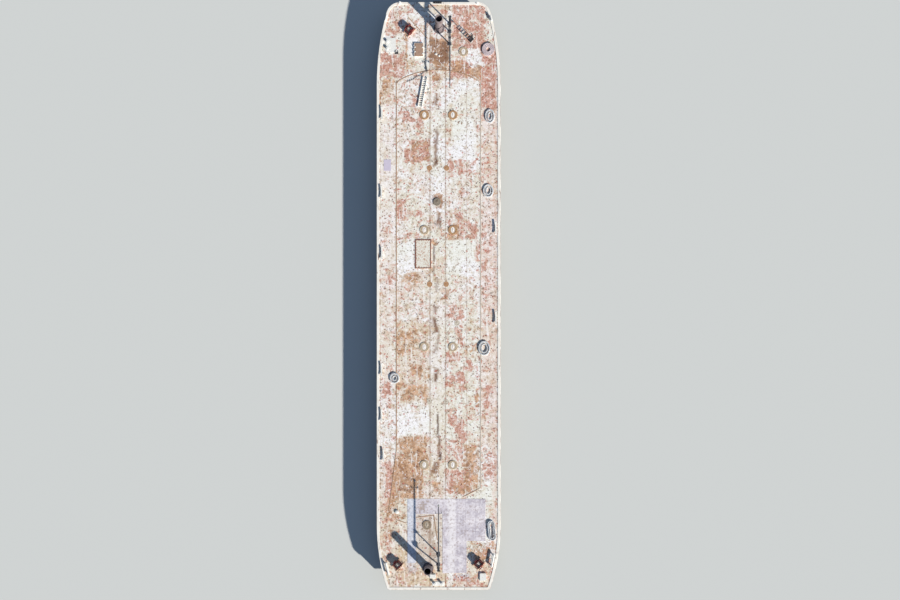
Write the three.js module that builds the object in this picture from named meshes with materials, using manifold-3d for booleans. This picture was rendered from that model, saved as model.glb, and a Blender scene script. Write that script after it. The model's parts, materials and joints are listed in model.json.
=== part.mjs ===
// River deck barge at half its real size, in millimetres: +Y to the bow, +X to starboard, +Z up.
// The origin is on the flat bottom, amidships on the centreline.

import * as THREE from 'three';
import Module from 'manifold-3d';
import { mergeVertices } from 'three/addons/utils/BufferGeometryUtils.js';

const wasm = await Module();
wasm.setup();

// Driving dimensions
const LENGTH = 29400;
const BEAM = 6200;
const DEPTH = 1500;
const HALF_LENGTH = LENGTH / 2;
const HALF_BEAM = BEAM / 2;
const RAIL = 50;
const DECK_PLATE = 12;
const GAP = 0.3;
const DECK = DEPTH + GAP;

// Plan shape of each end: where the side starts to curve in, the side's radius and the corner's
const BOW = { tangent: 10550, flank: 13700, corner: 700, transom: HALF_LENGTH };
const STERN = { tangent: 11450, flank: 10000, corner: 200, transom: HALF_LENGTH };
const FLANK_STEPS = 8;
const CORNER_STEPS = 6;

// Side profile: where the flat bottom ends and how high the rakes come up at the transoms
const RAKE = { bowKnuckle: 9900, bowRise: 800, sternKnuckle: 11300, sternRise: 850, radius: 3000 };
const BILGE_RADIUS = 150;

// Masts, which lie lowered on their cradles
const MAST = { pivot: 800, radius: 30, tip: 22, pin: 15, pinHole: 15.8 };
const MASTS = [
  // name, x and y of the pivot, turn about Z, lengths of mast and trough, the crutch's distance from
  // the pivot, half width of the cradle's base, and how far from the pivot each leg's foot and head are
  {
    name: 'bow', x: 560, y: 13600, turn: Math.PI, length: 3480, trough: 480, crutch: 1000, base: 62,
    legs: [[-20, -20], [380, 380]],
  },
  {
    name: 'stern', x: 0, y: -13600, turn: 0, length: 3230, trough: 180, crutch: 690, base: 62,
    legs: [[175, -35]],
  },
];

// Paints and metals
const paint = (color, roughness = 0.7, metalness = 0) =>
  new THREE.MeshStandardMaterial({ color, roughness, metalness });
const HULL_BLACK = paint(0x2b2d30);
const DECK_CREAM = paint(0xd9d4c3);
const EDGE_CREAM = paint(0xe9e2d0);
const FITTING_WHITE = paint(0xf0f0ea, 0.5);
const OXIDE_RED = paint(0x5c1f1c);
const RUST = paint(0x8a5a3c, 0.85);
const PLATE_GREY = paint(0xc9c7d2);
const STEEL = paint(0x6c6e72, 0.5, 0.6);
const ROPE = paint(0xcfd3d8, 0.9);
const HOSE = paint(0xa9a4b0, 0.8);

const object = new THREE.Group();

function add(name, geometry, material, x = 0, y = 0, z = 0, turn = 0) {
  const mesh = new THREE.Mesh(geometry, material);
  mesh.name = name;
  mesh.position.set(x, y, z);
  mesh.rotation.z = turn;
  object.add(mesh);
}

// A closed mesh as a solid that can be joined or cut, and back
function solid(geometry) {
  const bare = geometry.clone();
  bare.deleteAttribute('normal');
  bare.deleteAttribute('uv');
  const merged = mergeVertices(bare, 1e-3);
  return new wasm.Manifold(new wasm.Mesh({
    numProp: 3,
    vertProperties: new Float32Array(merged.attributes.position.array),
    triVerts: new Uint32Array(merged.index.array),
  }));
}

function geometryOf(body) {
  const mesh = body.getMesh();
  const geometry = new THREE.BufferGeometry();
  geometry.setAttribute('position', new THREE.BufferAttribute(new Float32Array(mesh.vertProperties), 3));
  geometry.setIndex(new THREE.BufferAttribute(new Uint32Array(mesh.triVerts), 1));
  return geometry;
}

function join(first, ...others) {
  let body = solid(first);
  for (const other of others) body = body.add(solid(other));
  return geometryOf(body);
}

// A box by its ranges along X, Y and Z
function box([x0, x1], [y0, y1], [z0, z1]) {
  const geometry = new THREE.BoxGeometry(x1 - x0, y1 - y0, z1 - z0);
  return geometry.translate((x0 + x1) / 2, (y0 + y1) / 2, (z0 + z1) / 2);
}

// A turned piece standing on Z, from [radius, height] pairs
function turned(profile, segments = 20) {
  const points = profile.map(([radius, height]) => new THREE.Vector2(radius, height));
  return new THREE.LatheGeometry(points, segments).rotateX(Math.PI / 2);
}

// A flat outline, turned counterclockwise, so that a hole in it is drawn clockwise
function shapeOf(points) {
  const corners = points.map((point) => new THREE.Vector2(point[0], point[1]));
  return new THREE.Shape(THREE.ShapeUtils.isClockWise(corners) ? corners.reverse() : corners);
}

// A flat outline raised along Z, or stood up and drawn along X or along Y, centred
function raised(shape, height, z = 0) {
  return new THREE.ExtrudeGeometry(shape, { depth: height, bevelEnabled: false }).translate(0, 0, z);
}

function drawnAcross(shape, width, x = 0) {
  const turn = new THREE.Matrix4().makeBasis(
    new THREE.Vector3(0, 1, 0), new THREE.Vector3(0, 0, 1), new THREE.Vector3(1, 0, 0));
  return raised(shape, width, -width / 2).applyMatrix4(turn).translate(x, 0, 0);
}

function drawnAlong(shape, length, y = 0) {
  const turn = new THREE.Matrix4().makeBasis(
    new THREE.Vector3(1, 0, 0), new THREE.Vector3(0, 0, 1), new THREE.Vector3(0, -1, 0));
  return raised(shape, length, -length / 2).applyMatrix4(turn).translate(0, y, 0);
}

function roundHole(shape, x, y, radius) {
  const hole = new THREE.Path();
  hole.absarc(x, y, radius, 0, 2 * Math.PI, true);
  shape.holes.push(hole);
}

// Plan outline of the barge, drawn in by an inset: a long flank arc and a tight corner arc at each end
function endArcs(inset, end) {
  const reach = end.flank - end.corner;
  const rise = end.transom - end.tangent - end.corner;
  const flankX = HALF_BEAM - end.flank;
  const turn = Math.asin(rise / reach);
  const cornerX = flankX + reach * Math.cos(turn);
  const points = [];
  for (let i = 0; i <= FLANK_STEPS; i++) {
    const angle = turn * i / FLANK_STEPS;
    const radius = end.flank - inset;
    points.push([flankX + radius * Math.cos(angle), end.tangent + radius * Math.sin(angle)]);
  }
  for (let i = 1; i <= CORNER_STEPS; i++) {
    const angle = turn + (Math.PI / 2 - turn) * i / CORNER_STEPS;
    const radius = end.corner - inset;
    points.push([cornerX + radius * Math.cos(angle), end.tangent + rise + radius * Math.sin(angle)]);
  }
  return points;
}

function outline(inset) {
  const bow = endArcs(inset, BOW);
  const stern = endArcs(inset, STERN).map(([x, y]) => [x, -y]).reverse();
  const starboard = [...stern, ...bow];
  const port = starboard.map(([x, y]) => [-x, y]).reverse();
  return [...starboard, ...port];
}

// A ring that follows the outline, from its cross-section as [inset, height] pairs, inner side first and up
function edgeRing(section) {
  const loops = section.map(([inset, height]) => outline(inset).map(([x, y]) => [x, y, height]));
  const around = loops[0].length;
  const index = [];
  for (let i = 0; i < loops.length; i++) {
    const next = (i + 1) % loops.length;
    for (let j = 0; j < around; j++) {
      const beside = (j + 1) % around;
      const [a, b, c, d] = [i * around + j, i * around + beside, next * around + beside, next * around + j];
      index.push(a, c, b, a, d, c);
    }
  }
  const geometry = new THREE.BufferGeometry();
  geometry.setAttribute('position', new THREE.Float32BufferAttribute(loops.flat(2), 3));
  geometry.setIndex(index);
  return geometry;
}

// Hull: plan outline, raked side profile and bilge radius cut from one another, with side rub strakes
function rounded(before, corner, after, radius, steps) {
  const a = new THREE.Vector2(before[0] - corner[0], before[1] - corner[1]).normalize();
  const b = new THREE.Vector2(after[0] - corner[0], after[1] - corner[1]).normalize();
  const half = a.angleTo(b) / 2;
  const middle = a.clone().add(b).normalize().multiplyScalar(radius / Math.sin(half));
  const centre = new THREE.Vector2(corner[0] + middle.x, corner[1] + middle.y);
  const reach = radius / Math.tan(half);
  const start = new THREE.Vector2(corner[0] + a.x * reach, corner[1] + a.y * reach).sub(centre);
  const finish = new THREE.Vector2(corner[0] + b.x * reach, corner[1] + b.y * reach).sub(centre);
  let sweep = finish.angle() - start.angle();
  if (sweep > Math.PI) sweep -= 2 * Math.PI;
  if (sweep < -Math.PI) sweep += 2 * Math.PI;
  const points = [];
  for (let i = 0; i <= steps; i++) {
    const angle = start.angle() + sweep * i / steps;
    points.push([centre.x + radius * Math.cos(angle), centre.y + radius * Math.sin(angle)]);
  }
  return points;
}

const HULL_TOP = DEPTH - DECK_PLATE - GAP;
const TRANSOM = HALF_LENGTH - RAIL;
const HULL_SIDE = HALF_BEAM - RAIL;
const STRAKE = { low: 690, high: 790, aft: -11000, fore: 10200 };

function hull() {
  const plan = raised(shapeOf(outline(RAIL)), HULL_TOP);
  const bowEnd = [TRANSOM, RAKE.bowRise];
  const bowKnuckle = [RAKE.bowKnuckle, 0];
  const sternKnuckle = [-RAKE.sternKnuckle, 0];
  const sternEnd = [-TRANSOM, RAKE.sternRise];
  const past = 100;
  const profile = shapeOf([
    [-TRANSOM - past, HULL_TOP + past], [-TRANSOM - past, RAKE.sternRise], sternEnd,
    ...rounded(sternEnd, sternKnuckle, bowKnuckle, RAKE.radius, 4),
    ...rounded(sternKnuckle, bowKnuckle, bowEnd, RAKE.radius, 4),
    bowEnd, [TRANSOM + past, RAKE.bowRise], [TRANSOM + past, HULL_TOP + past],
  ]);
  const starboardBilge = rounded([0, 0], [HULL_SIDE, 0], [HULL_SIDE, DEPTH], BILGE_RADIUS, 5);
  const portBilge = starboardBilge.map(([x, z]) => [-x, z]).reverse();
  const section = shapeOf([
    ...starboardBilge, [HULL_SIDE, HULL_TOP + past], [-HULL_SIDE, HULL_TOP + past], ...portBilge,
  ]);
  const strake = (side) => drawnAlong(shapeOf([
    [side * (HULL_SIDE - RAIL), STRAKE.low], [side * HULL_SIDE, STRAKE.low],
    [side * (HALF_BEAM - 5), STRAKE.low + 30], [side * (HALF_BEAM - 5), STRAKE.high - 30],
    [side * HULL_SIDE, STRAKE.high], [side * (HULL_SIDE - RAIL), STRAKE.high],
  ]), STRAKE.fore - STRAKE.aft, (STRAKE.fore + STRAKE.aft) / 2);
  const shell = solid(plan)
    .intersect(solid(drawnAcross(profile, BEAM)))
    .intersect(solid(drawnAlong(section, LENGTH)));
  return geometryOf(shell.add(solid(strake(1))).add(solid(strake(-1))));
}
add('hull', hull(), HULL_BLACK);

// Deck plate over the whole hull
add('deck_plating', raised(shapeOf(outline(RAIL)), DECK_PLATE, DEPTH - DECK_PLATE), DECK_CREAM);

// Gunwale: the top rub rail and the low kerb on the deck's edge, one welded ring
const KERB = { outer: 15, inner: 135, top: DEPTH + 16 };
const RAIL_LOW = DEPTH - 170;
add('gunwale', edgeRing([
  [RAIL - GAP, RAIL_LOW], [RAIL - GAP, DEPTH + GAP], [KERB.inner, DEPTH + GAP], [KERB.inner, KERB.top],
  [KERB.outer, KERB.top], [KERB.outer, DEPTH], [0, DEPTH - 40], [0, RAIL_LOW + 40], [20, RAIL_LOW],
]), EDGE_CREAM);

// Bitts: pairs of capped posts on a base plate
function post(radius, height, cap = 14) {
  return turned([[0, 0], [radius, 0], [radius, height - 40], [radius + cap, height - 30],
    [radius + cap, height - 8], [radius, height], [0, height]], 14);
}

// Bar bitts: low, with a pipe across two posts
const BAR_BITT = { pipe: 42, ease: 14, post: 32, postInset: 80, base: 12 };

function barBitt(length, height, width = 130) {
  const { pipe, ease, post: leg, postInset, base } = BAR_BITT;
  const end = length / 2;
  const bar = turned([
    [0, -end], [pipe - ease, -end], [pipe, ease - end], [pipe, end - ease], [pipe - ease, end], [0, end],
  ], 12);
  const legAt = (y) => turned([[0, 5], [leg, 5], [leg, height], [0, height]], 12).translate(0, y, 0);
  return join(
    box([-width / 2, width / 2], [10 - end, end - 10], [0, base]),
    legAt(end - postInset),
    legAt(postInset - end),
    bar.rotateX(-Math.PI / 2).translate(0, 0, height),
  );
}

function bitts({ spacing, radius, height, port, starboard, margin }) {
  return join(
    box([-port, starboard], [-spacing / 2 - margin, spacing / 2 + margin], [0, 14]),
    post(radius, height).translate(0, spacing / 2, 5),
    post(radius, height).translate(0, -spacing / 2, 5),
  );
}
const BOW_BITTS = { spacing: 340, radius: 55, height: 120, port: 80, starboard: 420, margin: 190 };
const STERN_BITTS = { spacing: 360, radius: 55, height: 140, port: 100, starboard: 100, margin: 130 };
const KERB_TOP = KERB.top + GAP;
add('bitts_bow', bitts(BOW_BITTS), FITTING_WHITE, -2550, 12530, DECK, 0.02);
add('bitts_stern', bitts(STERN_BITTS), FITTING_WHITE, 0, -14380, DECK, Math.PI / 2);
add('bar_bitt_stern_port', barBitt(640, 150), FITTING_WHITE, -2560, -13640, DECK, 0.25);
add('bar_bitt_stern_starboard', barBitt(680, 150), FITTING_WHITE, 2700, -13220, DECK, -0.19);
add('bar_bitt_bow_port', barBitt(300, 110, 110), FITTING_WHITE, -2617, 13860, KERB_TOP, -0.245);
add('bar_bitt_bow_starboard', barBitt(300, 110, 110), FITTING_WHITE, 2617, 13860, KERB_TOP, 0.245);
add('corner_post_port', post(45, 125), FITTING_WHITE, -1930, 14625, KERB_TOP);
add('corner_post_starboard', post(45, 125), FITTING_WHITE, 1930, 14625, KERB_TOP);

// Skegs under the stern rake
const SKEG = {
  x: 1500, thick: 40, fore: 11800, foreFoot: 12150, aft: 14300, keel: 60, heelRise: 40, heel: 120,
};

function skeg() {
  const slope = RAKE.sternRise / (TRANSOM - RAKE.sternKnuckle);
  const under = (y) => (y - RAKE.sternKnuckle) * slope - 1.5 * GAP;
  return drawnAcross(shapeOf([
    [-SKEG.fore, under(SKEG.fore)], [-SKEG.aft, under(SKEG.aft)], [-SKEG.aft, SKEG.keel + SKEG.heelRise],
    [SKEG.heel - SKEG.aft, SKEG.keel], [-SKEG.foreFoot, SKEG.keel],
  ]), SKEG.thick);
}
add('skeg_port', skeg(), HULL_BLACK, -SKEG.x);
add('skeg_starboard', skeg(), HULL_BLACK, SKEG.x);

// Flat bar welded round the cargo area: two long legs, an arch forward and splayed ends aft
const CARGO = { half: 2105, shoulder: 10820, corner: 150, archRadius: 4000, apex: 11300, width: 40, high: 10 };

function strip(path, width, height) {
  const sides = [[], []];
  path.forEach(([x, y], i) => {
    const before = path[Math.max(i - 1, 0)];
    const after = path[Math.min(i + 1, path.length - 1)];
    const into = new THREE.Vector2(x - before[0], y - before[1]).normalize();
    const out = new THREE.Vector2(after[0] - x, after[1] - y).normalize();
    const along = into.clone().add(out).normalize();
    const stretch = width / 2 / Math.max(along.dot(i ? into : out), 0.5);
    sides[0].push([x + along.y * stretch, y - along.x * stretch]);
    sides[1].push([x - along.y * stretch, y + along.x * stretch]);
  });
  return raised(shapeOf([...sides[0], ...sides[1].reverse()]), height);
}

function cargoBar() {
  const arch = [];
  const steps = 12;
  const reach = CARGO.half - CARGO.corner;
  for (let i = 0; i <= steps; i++) {
    const x = reach - 2 * reach * i / steps;
    const drop = CARGO.archRadius - Math.sqrt(CARGO.archRadius ** 2 - x ** 2);
    arch.push([x, CARGO.apex - drop]);
  }
  const foot = arch[0][1] - CARGO.corner;
  return strip([
    [1220, -10050], [CARGO.half, -9600], [CARGO.half, foot],
    ...arch,
    [-CARGO.half, foot], [-CARGO.half, -7700], [-2480, -10700], [-2080, -11200], [-1630, -11350],
  ], CARGO.width, CARGO.high);
}
add('cargo_bar', cargoBar(), RUST, 0, 0, DECK);

// Open-topped end tubes on the centreline, each on a round doubler
const TUBE = { outer: 185, inner: 162, height: 1110, flange: 280, floor: 20 };
const TUBES = [
  // name, x, y
  ['bow', 20, 13380],
  ['stern', -530, -13600],
];
for (const [end, x, y] of TUBES) {
  const tube = turned([
    [0, 0], [TUBE.flange, 0], [TUBE.flange, TUBE.floor], [TUBE.outer, TUBE.floor], [TUBE.outer, TUBE.height],
    [TUBE.inner, TUBE.height], [TUBE.inner, TUBE.floor], [0, TUBE.floor],
  ], 32);
  add(`end_tube_${end}`, tube, EDGE_CREAM, x, y, DECK);
}

// Mast cradle: slender legs with gussets under a trough with the pivot cheeks, and the crutch further
// along, each on a foot plate, and all on one base
const CHEEK = { inside: 46, thick: 12, heel: 75, top: 62, lip: 20 };
const CRADLE = { base: 15, leg: 24, foot: 85, footHigh: 28, floor: 74, plate: 10 };
const GUSSET = { thick: 14, deep: 110, ahead: 95, behind: 35 };
const CRUTCH = { post: 22, half: 62, slot: 38, seat: 0.5, deep: 60, long: 70 };

function mastCradle({ trough, crutch, base, legs }) {
  const floor = MAST.pivot - CRADLE.floor;
  const lip = MAST.pivot + CHEEK.lip;
  const top = MAST.pivot + CHEEK.top;
  const side = shapeOf([
    [-CHEEK.heel, floor], [trough, floor], [trough, lip - 10], [130, lip], [60, top], [-60, top],
    [-CHEEK.heel, top - 20],
  ]);
  roundHole(side, 0, MAST.pivot, MAST.pinHole);
  const sideX = CHEEK.inside + CHEEK.thick / 2;
  const outside = CHEEK.inside + CHEEK.thick;
  const seat = MAST.pivot - MAST.radius - CRUTCH.seat;
  const fork = shapeOf([
    [-CRUTCH.half, seat - CRUTCH.deep], [CRUTCH.half, seat - CRUTCH.deep], [CRUTCH.half, lip],
    [CRUTCH.slot, lip], [CRUTCH.slot, seat], [-CRUTCH.slot, seat], [-CRUTCH.slot, lip], [-CRUTCH.half, lip],
  ]);
  const half = CRADLE.leg;
  const legAt = ([foot, head]) => drawnAcross(shapeOf([
    [foot - half, 10], [foot + half, 10], [head + half, floor + 5], [head - half, floor + 5],
  ]), 2 * half);
  const gussetAt = ([foot, head]) => {
    const low = head + (foot - head) * GUSSET.deep / floor;
    return drawnAcross(shapeOf([
      [low - half / 2, floor - GUSSET.deep], [low + half / 2, floor - GUSSET.deep],
      [head + GUSSET.ahead, floor + 5], [head - GUSSET.behind, floor + 5],
    ]), GUSSET.thick);
  };
  const footAt = (y) =>
    box([-CRADLE.foot, CRADLE.foot], [y - CRADLE.foot, y + CRADLE.foot], [0, CRADLE.footHigh]);
  const crutchPost = [-CRUTCH.post, CRUTCH.post];
  return join(
    box([-base, base], [-70, crutch + 90], [0, CRADLE.base]),
    ...[...legs.map(([foot]) => foot), crutch].map(footAt),
    ...legs.map(legAt),
    ...legs.map(gussetAt),
    box([-outside, outside], [-CHEEK.heel, trough], [floor, floor + CRADLE.plate]),
    drawnAcross(side, CHEEK.thick, sideX),
    drawnAcross(side, CHEEK.thick, -sideX),
    box(crutchPost, crutchPost.map((y) => y + crutch), [10, seat - 50]),
    drawnAlong(fork, CRUTCH.long, crutch),
  );
}

// Mast: heel eye and pin, tapered pole, crosstree and lantern, lying along +Y from its pivot
const HEEL = { radius: 45, half: 38, neck: 36, neckEnd: 110 };
const PIN = { head: 24, headFrom: 63, half: 84 };
const LANTERN = { long: 100, radius: 40 };
const CROSSTREE = { half: 170, radius: 12, fromTip: 420 };

function mast({ length }) {
  const alongY = (geometry) => geometry.rotateX(-Math.PI / 2);
  const alongX = (geometry) => geometry.rotateY(Math.PI / 2);
  const lantern = length - LANTERN.long;
  const pole = turned([
    [0, 60], [MAST.radius, 60], [MAST.radius, length * 0.55], [MAST.tip, lantern - 30],
    [MAST.tip, lantern], [LANTERN.radius - 6, lantern + 10], [LANTERN.radius, length - 20],
    [26, length], [0, length],
  ], 12);
  const heel = turned([
    [0, -HEEL.half], [HEEL.radius, -HEEL.half], [HEEL.radius, HEEL.half], [0, HEEL.half],
  ], 20);
  const pin = turned([
    [0, -PIN.half], [PIN.head, -PIN.half], [PIN.head, -PIN.headFrom], [MAST.pin, -PIN.headFrom],
    [MAST.pin, PIN.headFrom], [PIN.head, PIN.headFrom], [PIN.head, PIN.half], [0, PIN.half],
  ], 16);
  const { half, radius, fromTip } = CROSSTREE;
  const crosstree = turned([[0, -half], [radius, -half], [radius, half], [0, half]], 8);
  return join(
    alongY(pole),
    alongX(heel),
    alongX(pin),
    box([-HEEL.neck, HEEL.neck], [0, HEEL.neckEnd], [-HEEL.neck, HEEL.neck]),
    alongX(crosstree).translate(0, length - fromTip, 0),
  );
}

for (const place of MASTS) {
  add(`mast_cradle_${place.name}`, mastCradle(place), STEEL, place.x, place.y, DECK, place.turn);
  add(`mast_${place.name}`, mast(place), STEEL, place.x, place.y, DECK + MAST.pivot, place.turn);
}

// Deck winches: two side plates on rails, tied across, with a gear case outside one plate and a
// brake lever outside the other, and a free drum with its wire between them
const WINCH = {
  axle: 150, axleRadius: 17, bearing: 17.6, flange: 122, flangeThick: 12, wound: 104, drum: 118,
  plate: 150, plateThick: 12, foot: 215, shoulder: 205, top: 155, high: 252, turn: Math.PI / 4,
};
const WINCH_RAIL = { half: 280, width: 44, high: 60 };
const GEAR_CASE = { half: 78, wide: 86, low: 70, high: 228, pedestal: 60 };
const BRAKE_LEVER = { x: 100, y: -170, half: 8, thick: 12, high: 300 };
const WINCHES = [
  // name, x, y
  ['fore', -1455, 13250],
  ['aft_port', -2045, -13430],
  ['aft_starboard', 2005, -13375],
];

function winchFrame() {
  const { axle, bearing, plate, plateThick, foot, shoulder, top, high } = WINCH;
  const rail = WINCH_RAIL;
  const side = shapeOf([
    [-foot, rail.high - 10], [foot, rail.high - 10], [shoulder, shoulder], [top, high], [-top, high],
    [-shoulder, shoulder],
  ]);
  roundHole(side, 0, axle, bearing);
  const railAt = (y) => box([-rail.half, rail.half], [y - rail.width / 2, y + rail.width / 2], [0, rail.high]);
  const crossAt = (x) => box([x - 20, x + 20], [-plate, plate], [8, rail.high - 12]);
  const tieAt = (x) => box([x - 14, x + 14], [-plate, plate], [shoulder - 10, shoulder + 18]);
  const lever = BRAKE_LEVER;
  return join(
    railAt(-plate),
    railAt(plate),
    crossAt(-230),
    crossAt(230),
    drawnAlong(side, plateThick, -plate),
    drawnAlong(side, plateThick, plate),
    tieAt(-165),
    tieAt(165),
    box([-GEAR_CASE.half, GEAR_CASE.half], [plate, plate + GEAR_CASE.wide], [GEAR_CASE.low, GEAR_CASE.high]),
    box([-60, 60], [plate, plate + GEAR_CASE.pedestal], [30, GEAR_CASE.low + 10]),
    box([lever.x - lever.half, lever.x + lever.half], [lever.y - lever.thick / 2, lever.y + lever.thick / 2],
      [40, lever.high]),
    box([lever.x - 15, lever.x + 15], [lever.y - 15, lever.y + 15], [30, 60]),
  );
}

function winchDrum() {
  const { axleRadius, flange, flangeThick, wound, drum } = WINCH;
  const inside = drum - flangeThick;
  const profile = [
    [0, -176], [axleRadius, -176], [axleRadius, -drum], [flange, -drum], [flange, -inside],
    [wound, -inside], [wound, inside], [flange, inside], [flange, drum], [axleRadius, drum],
    [axleRadius, 148], [0, 148],
  ];
  const clamp = box([-30, 30], [inside + 6, drum + 8], [60, 94]);
  return join(turned(profile, 24).rotateX(-Math.PI / 2), clamp);
}

for (const [name, x, y] of WINCHES) {
  add(`winch_frame_${name}`, winchFrame(), OXIDE_RED, x, y, DECK, WINCH.turn);
  add(`winch_drum_${name}`, winchDrum(), OXIDE_RED, x, y, DECK + WINCH.axle, WINCH.turn);
}

// Kevels: long two-legged horn cleats along the sides
const KEVEL = { half: 335, thick: 76, height: 108 };
const KEVELS = [
  // name, x, y
  ['port_1', -2830, 9110],
  ['port_2', -2850, 5165],
  ['port_3', -2830, 2120],
  ['port_4', -2850, -3685],
  ['port_5', -2850, -5985],
  ['port_6', -2750, -7980],
  ['starboard_1', 2855, 3385],
  ['starboard_2', 2860, -1110],
];

function kevel() {
  const { half, height } = KEVEL;
  const horns = shapeOf([
    [-170, 0], [170, 0], [170, 14], [140, 16], [122, 56], [half - 120, 64], [half - 12, 80], [half, 94],
    [half - 20, height], [half - 140, height - 10], [120, height - 16], [-120, height - 16],
    [-half + 140, height - 10], [-half + 20, height], [-half, 94], [-half + 12, 80], [-half + 120, 64],
    [-122, 56], [-140, 16], [-170, 14],
  ]);
  const window = new THREE.Path();
  window.setFromPoints([[-62, 18], [-52, 56], [52, 56], [62, 18]].map(([y, z]) => new THREE.Vector2(y, z)));
  horns.holes.push(window);
  return drawnAcross(horns, KEVEL.thick);
}
for (const [name, x, y] of KEVELS) add(`kevel_${name}`, kevel(), FITTING_WHITE, x, y, DECK);

// Manholes: a welded ring with its bolted cover, in pairs down the deck and one at each end
const MANHOLE = { ring: 235, cover: 178, high: 26 };
const MANHOLES = [
  // x, y
  [-710, 9050], [710, 9050], [-710, 3300], [710, 3300], [-710, -2550], [710, -2550], [-710, -8450],
  [710, -8450], [1245, 12215], [-580, -11450],
];
MANHOLES.forEach(([x, y], i) => {
  const { ring, cover, high } = MANHOLE;
  const cap = turned([
    [0, 0], [ring, 0], [ring - 6, high], [cover + 12, high], [cover, high - 8],
    [60, high - 8], [45, high + 6], [0, high + 6],
  ], 18);
  add(`manhole_${i + 1}`, cap, RUST, x, y, DECK);
});

// Dogged hatch forward: a coaming with a hinged lid
const HATCH = {
  x: -995, y: 12290, width: 450, length: 680, wall: 14, high: 48, floor: 10,
  pin: 8, hole: 8.7, hinge: 262, pinHigh: 8, rod: 225, lid: 14, dish: 60,
};
const HATCH_EARS = { thick: 14, places: [-208, -142, 142, 208] };
const HATCH_ARMS = { half: 20, places: [-175, 175] };
const HATCH_DOGS = { reach: 34, places: [-210, 0, 210] };

function hatchCoaming() {
  const { width, length, wall, high, floor, hinge, hole, pinHigh } = HATCH;
  const [edgeX, edgeY] = [width / 2, length / 2];
  const outer = box([-edgeX, edgeX], [-edgeY, edgeY], [0, high]);
  const inner = box([wall - edgeX, edgeX - wall], [wall - edgeY, edgeY - wall], [floor, high + 1]);
  const ear = shapeOf([
    [edgeX - 5, high - 40], [edgeX - 5, high - 14], [edgeX + 8, high - 14], [hinge - 16, high + 24],
    [hinge + 18, high + 24], [hinge + 18, high - 8], [hinge - 5, high - 34],
  ]);
  roundHole(ear, hinge, high + pinHigh, hole);
  const ears = HATCH_EARS.places.map((y) => drawnAlong(ear, HATCH_EARS.thick, y));
  const dogX = -edgeX - HATCH_DOGS.reach;
  const dogs = HATCH_DOGS.places.flatMap((y) => [
    box([dogX, 4 - edgeX], [y - 16, y + 16], [8, high - 14]),
    box([dogX, dogX + 24], [y - 12, y + 12], [20, high + 28]),
  ]);
  const tray = geometryOf(solid(outer).subtract(solid(inner)));
  return join(tray, ...ears, ...dogs);
}

function hatchLid() {
  const { width, length, high, hinge, pin, pinHigh, rod, lid, dish } = HATCH;
  const [edgeX, edgeY] = [width / 2, length / 2];
  const under = high + GAP;
  const plate = box([2 - edgeX, edgeX - 2], [2 - edgeY, edgeY - 2], [under, under + lid]);
  const raisedDish = box([dish - edgeX, edgeX - dish], [dish - edgeY, edgeY - dish], [under + 8, under + 26]);
  const arms = HATCH_ARMS.places.map((y) => box(
    [edgeX - dish, hinge + 10], [y - HATCH_ARMS.half, y + HATCH_ARMS.half], [under + 6, under + 18]));
  const hingeRod = turned([[0, -rod], [pin, -rod], [pin, rod], [0, rod]], 12).rotateX(-Math.PI / 2);
  return join(plate, raisedDish, ...arms, hingeRod.translate(hinge, 0, high + pinHigh))
    .translate(-hinge, 0, -high - pinHigh);
}
add('hatch_coaming', hatchCoaming(), FITTING_WHITE, HATCH.x, HATCH.y, DECK);
const HATCH_PIN = DECK + HATCH.high + HATCH.pinHigh;
add('hatch_lid', hatchLid(), RUST, HATCH.x + HATCH.hinge, HATCH.y, HATCH_PIN);

// Long flush hatch amidships: a flat-bar frame round a bolted cover
const LONG_HATCH = { x: -765, y: 2095, width: 800, length: 1460, bar: 40, high: 22, cover: 14 };

function longHatch() {
  const { width, length, bar, high, cover } = LONG_HATCH;
  const [edgeX, edgeY] = [width / 2, length / 2];
  const outer = box([-edgeX, edgeX], [-edgeY, edgeY], [0, high]);
  const inner = box([bar - edgeX, edgeX - bar], [bar - edgeY, edgeY - bar], [cover, high + 1]);
  return geometryOf(solid(outer).subtract(solid(inner)));
}
add('long_hatch', longHatch(), DECK_CREAM, LONG_HATCH.x, LONG_HATCH.y, DECK);

// Deck locker aft: a box with a hinged lid
const LOCKER = {
  x: 2220, y: -14050, width: 320, length: 350, wall: 8, high: 56,
  pin: 6, hole: 6.7, hinge: 192, pinHigh: 4, rod: 128, lid: 10,
};
const LOCKER_EARS = { thick: 8, places: [-118, -82, 82, 118] };
const LOCKER_ARMS = { half: 12, places: [-100, 100] };

function locker() {
  const { width, length, wall, high, hinge, hole, pinHigh } = LOCKER;
  const [edgeX, edgeY] = [width / 2, length / 2];
  const outer = box([-edgeX, edgeX], [-edgeY, edgeY], [0, high]);
  const inner = box([wall - edgeX, edgeX - wall], [wall - edgeY, edgeY - wall], [wall, high + 1]);
  const ear = shapeOf([
    [edgeY - 4, high - 34], [edgeY - 4, high - 8], [edgeY + 3, high - 8], [hinge - 9, high + 16],
    [hinge + 11, high + 16], [hinge + 11, high - 6], [hinge - 4, high - 30],
  ]);
  roundHole(ear, hinge, high + pinHigh, hole);
  const ears = LOCKER_EARS.places.map((x) => drawnAcross(ear, LOCKER_EARS.thick, x));
  return join(geometryOf(solid(outer).subtract(solid(inner))), ...ears);
}

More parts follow.
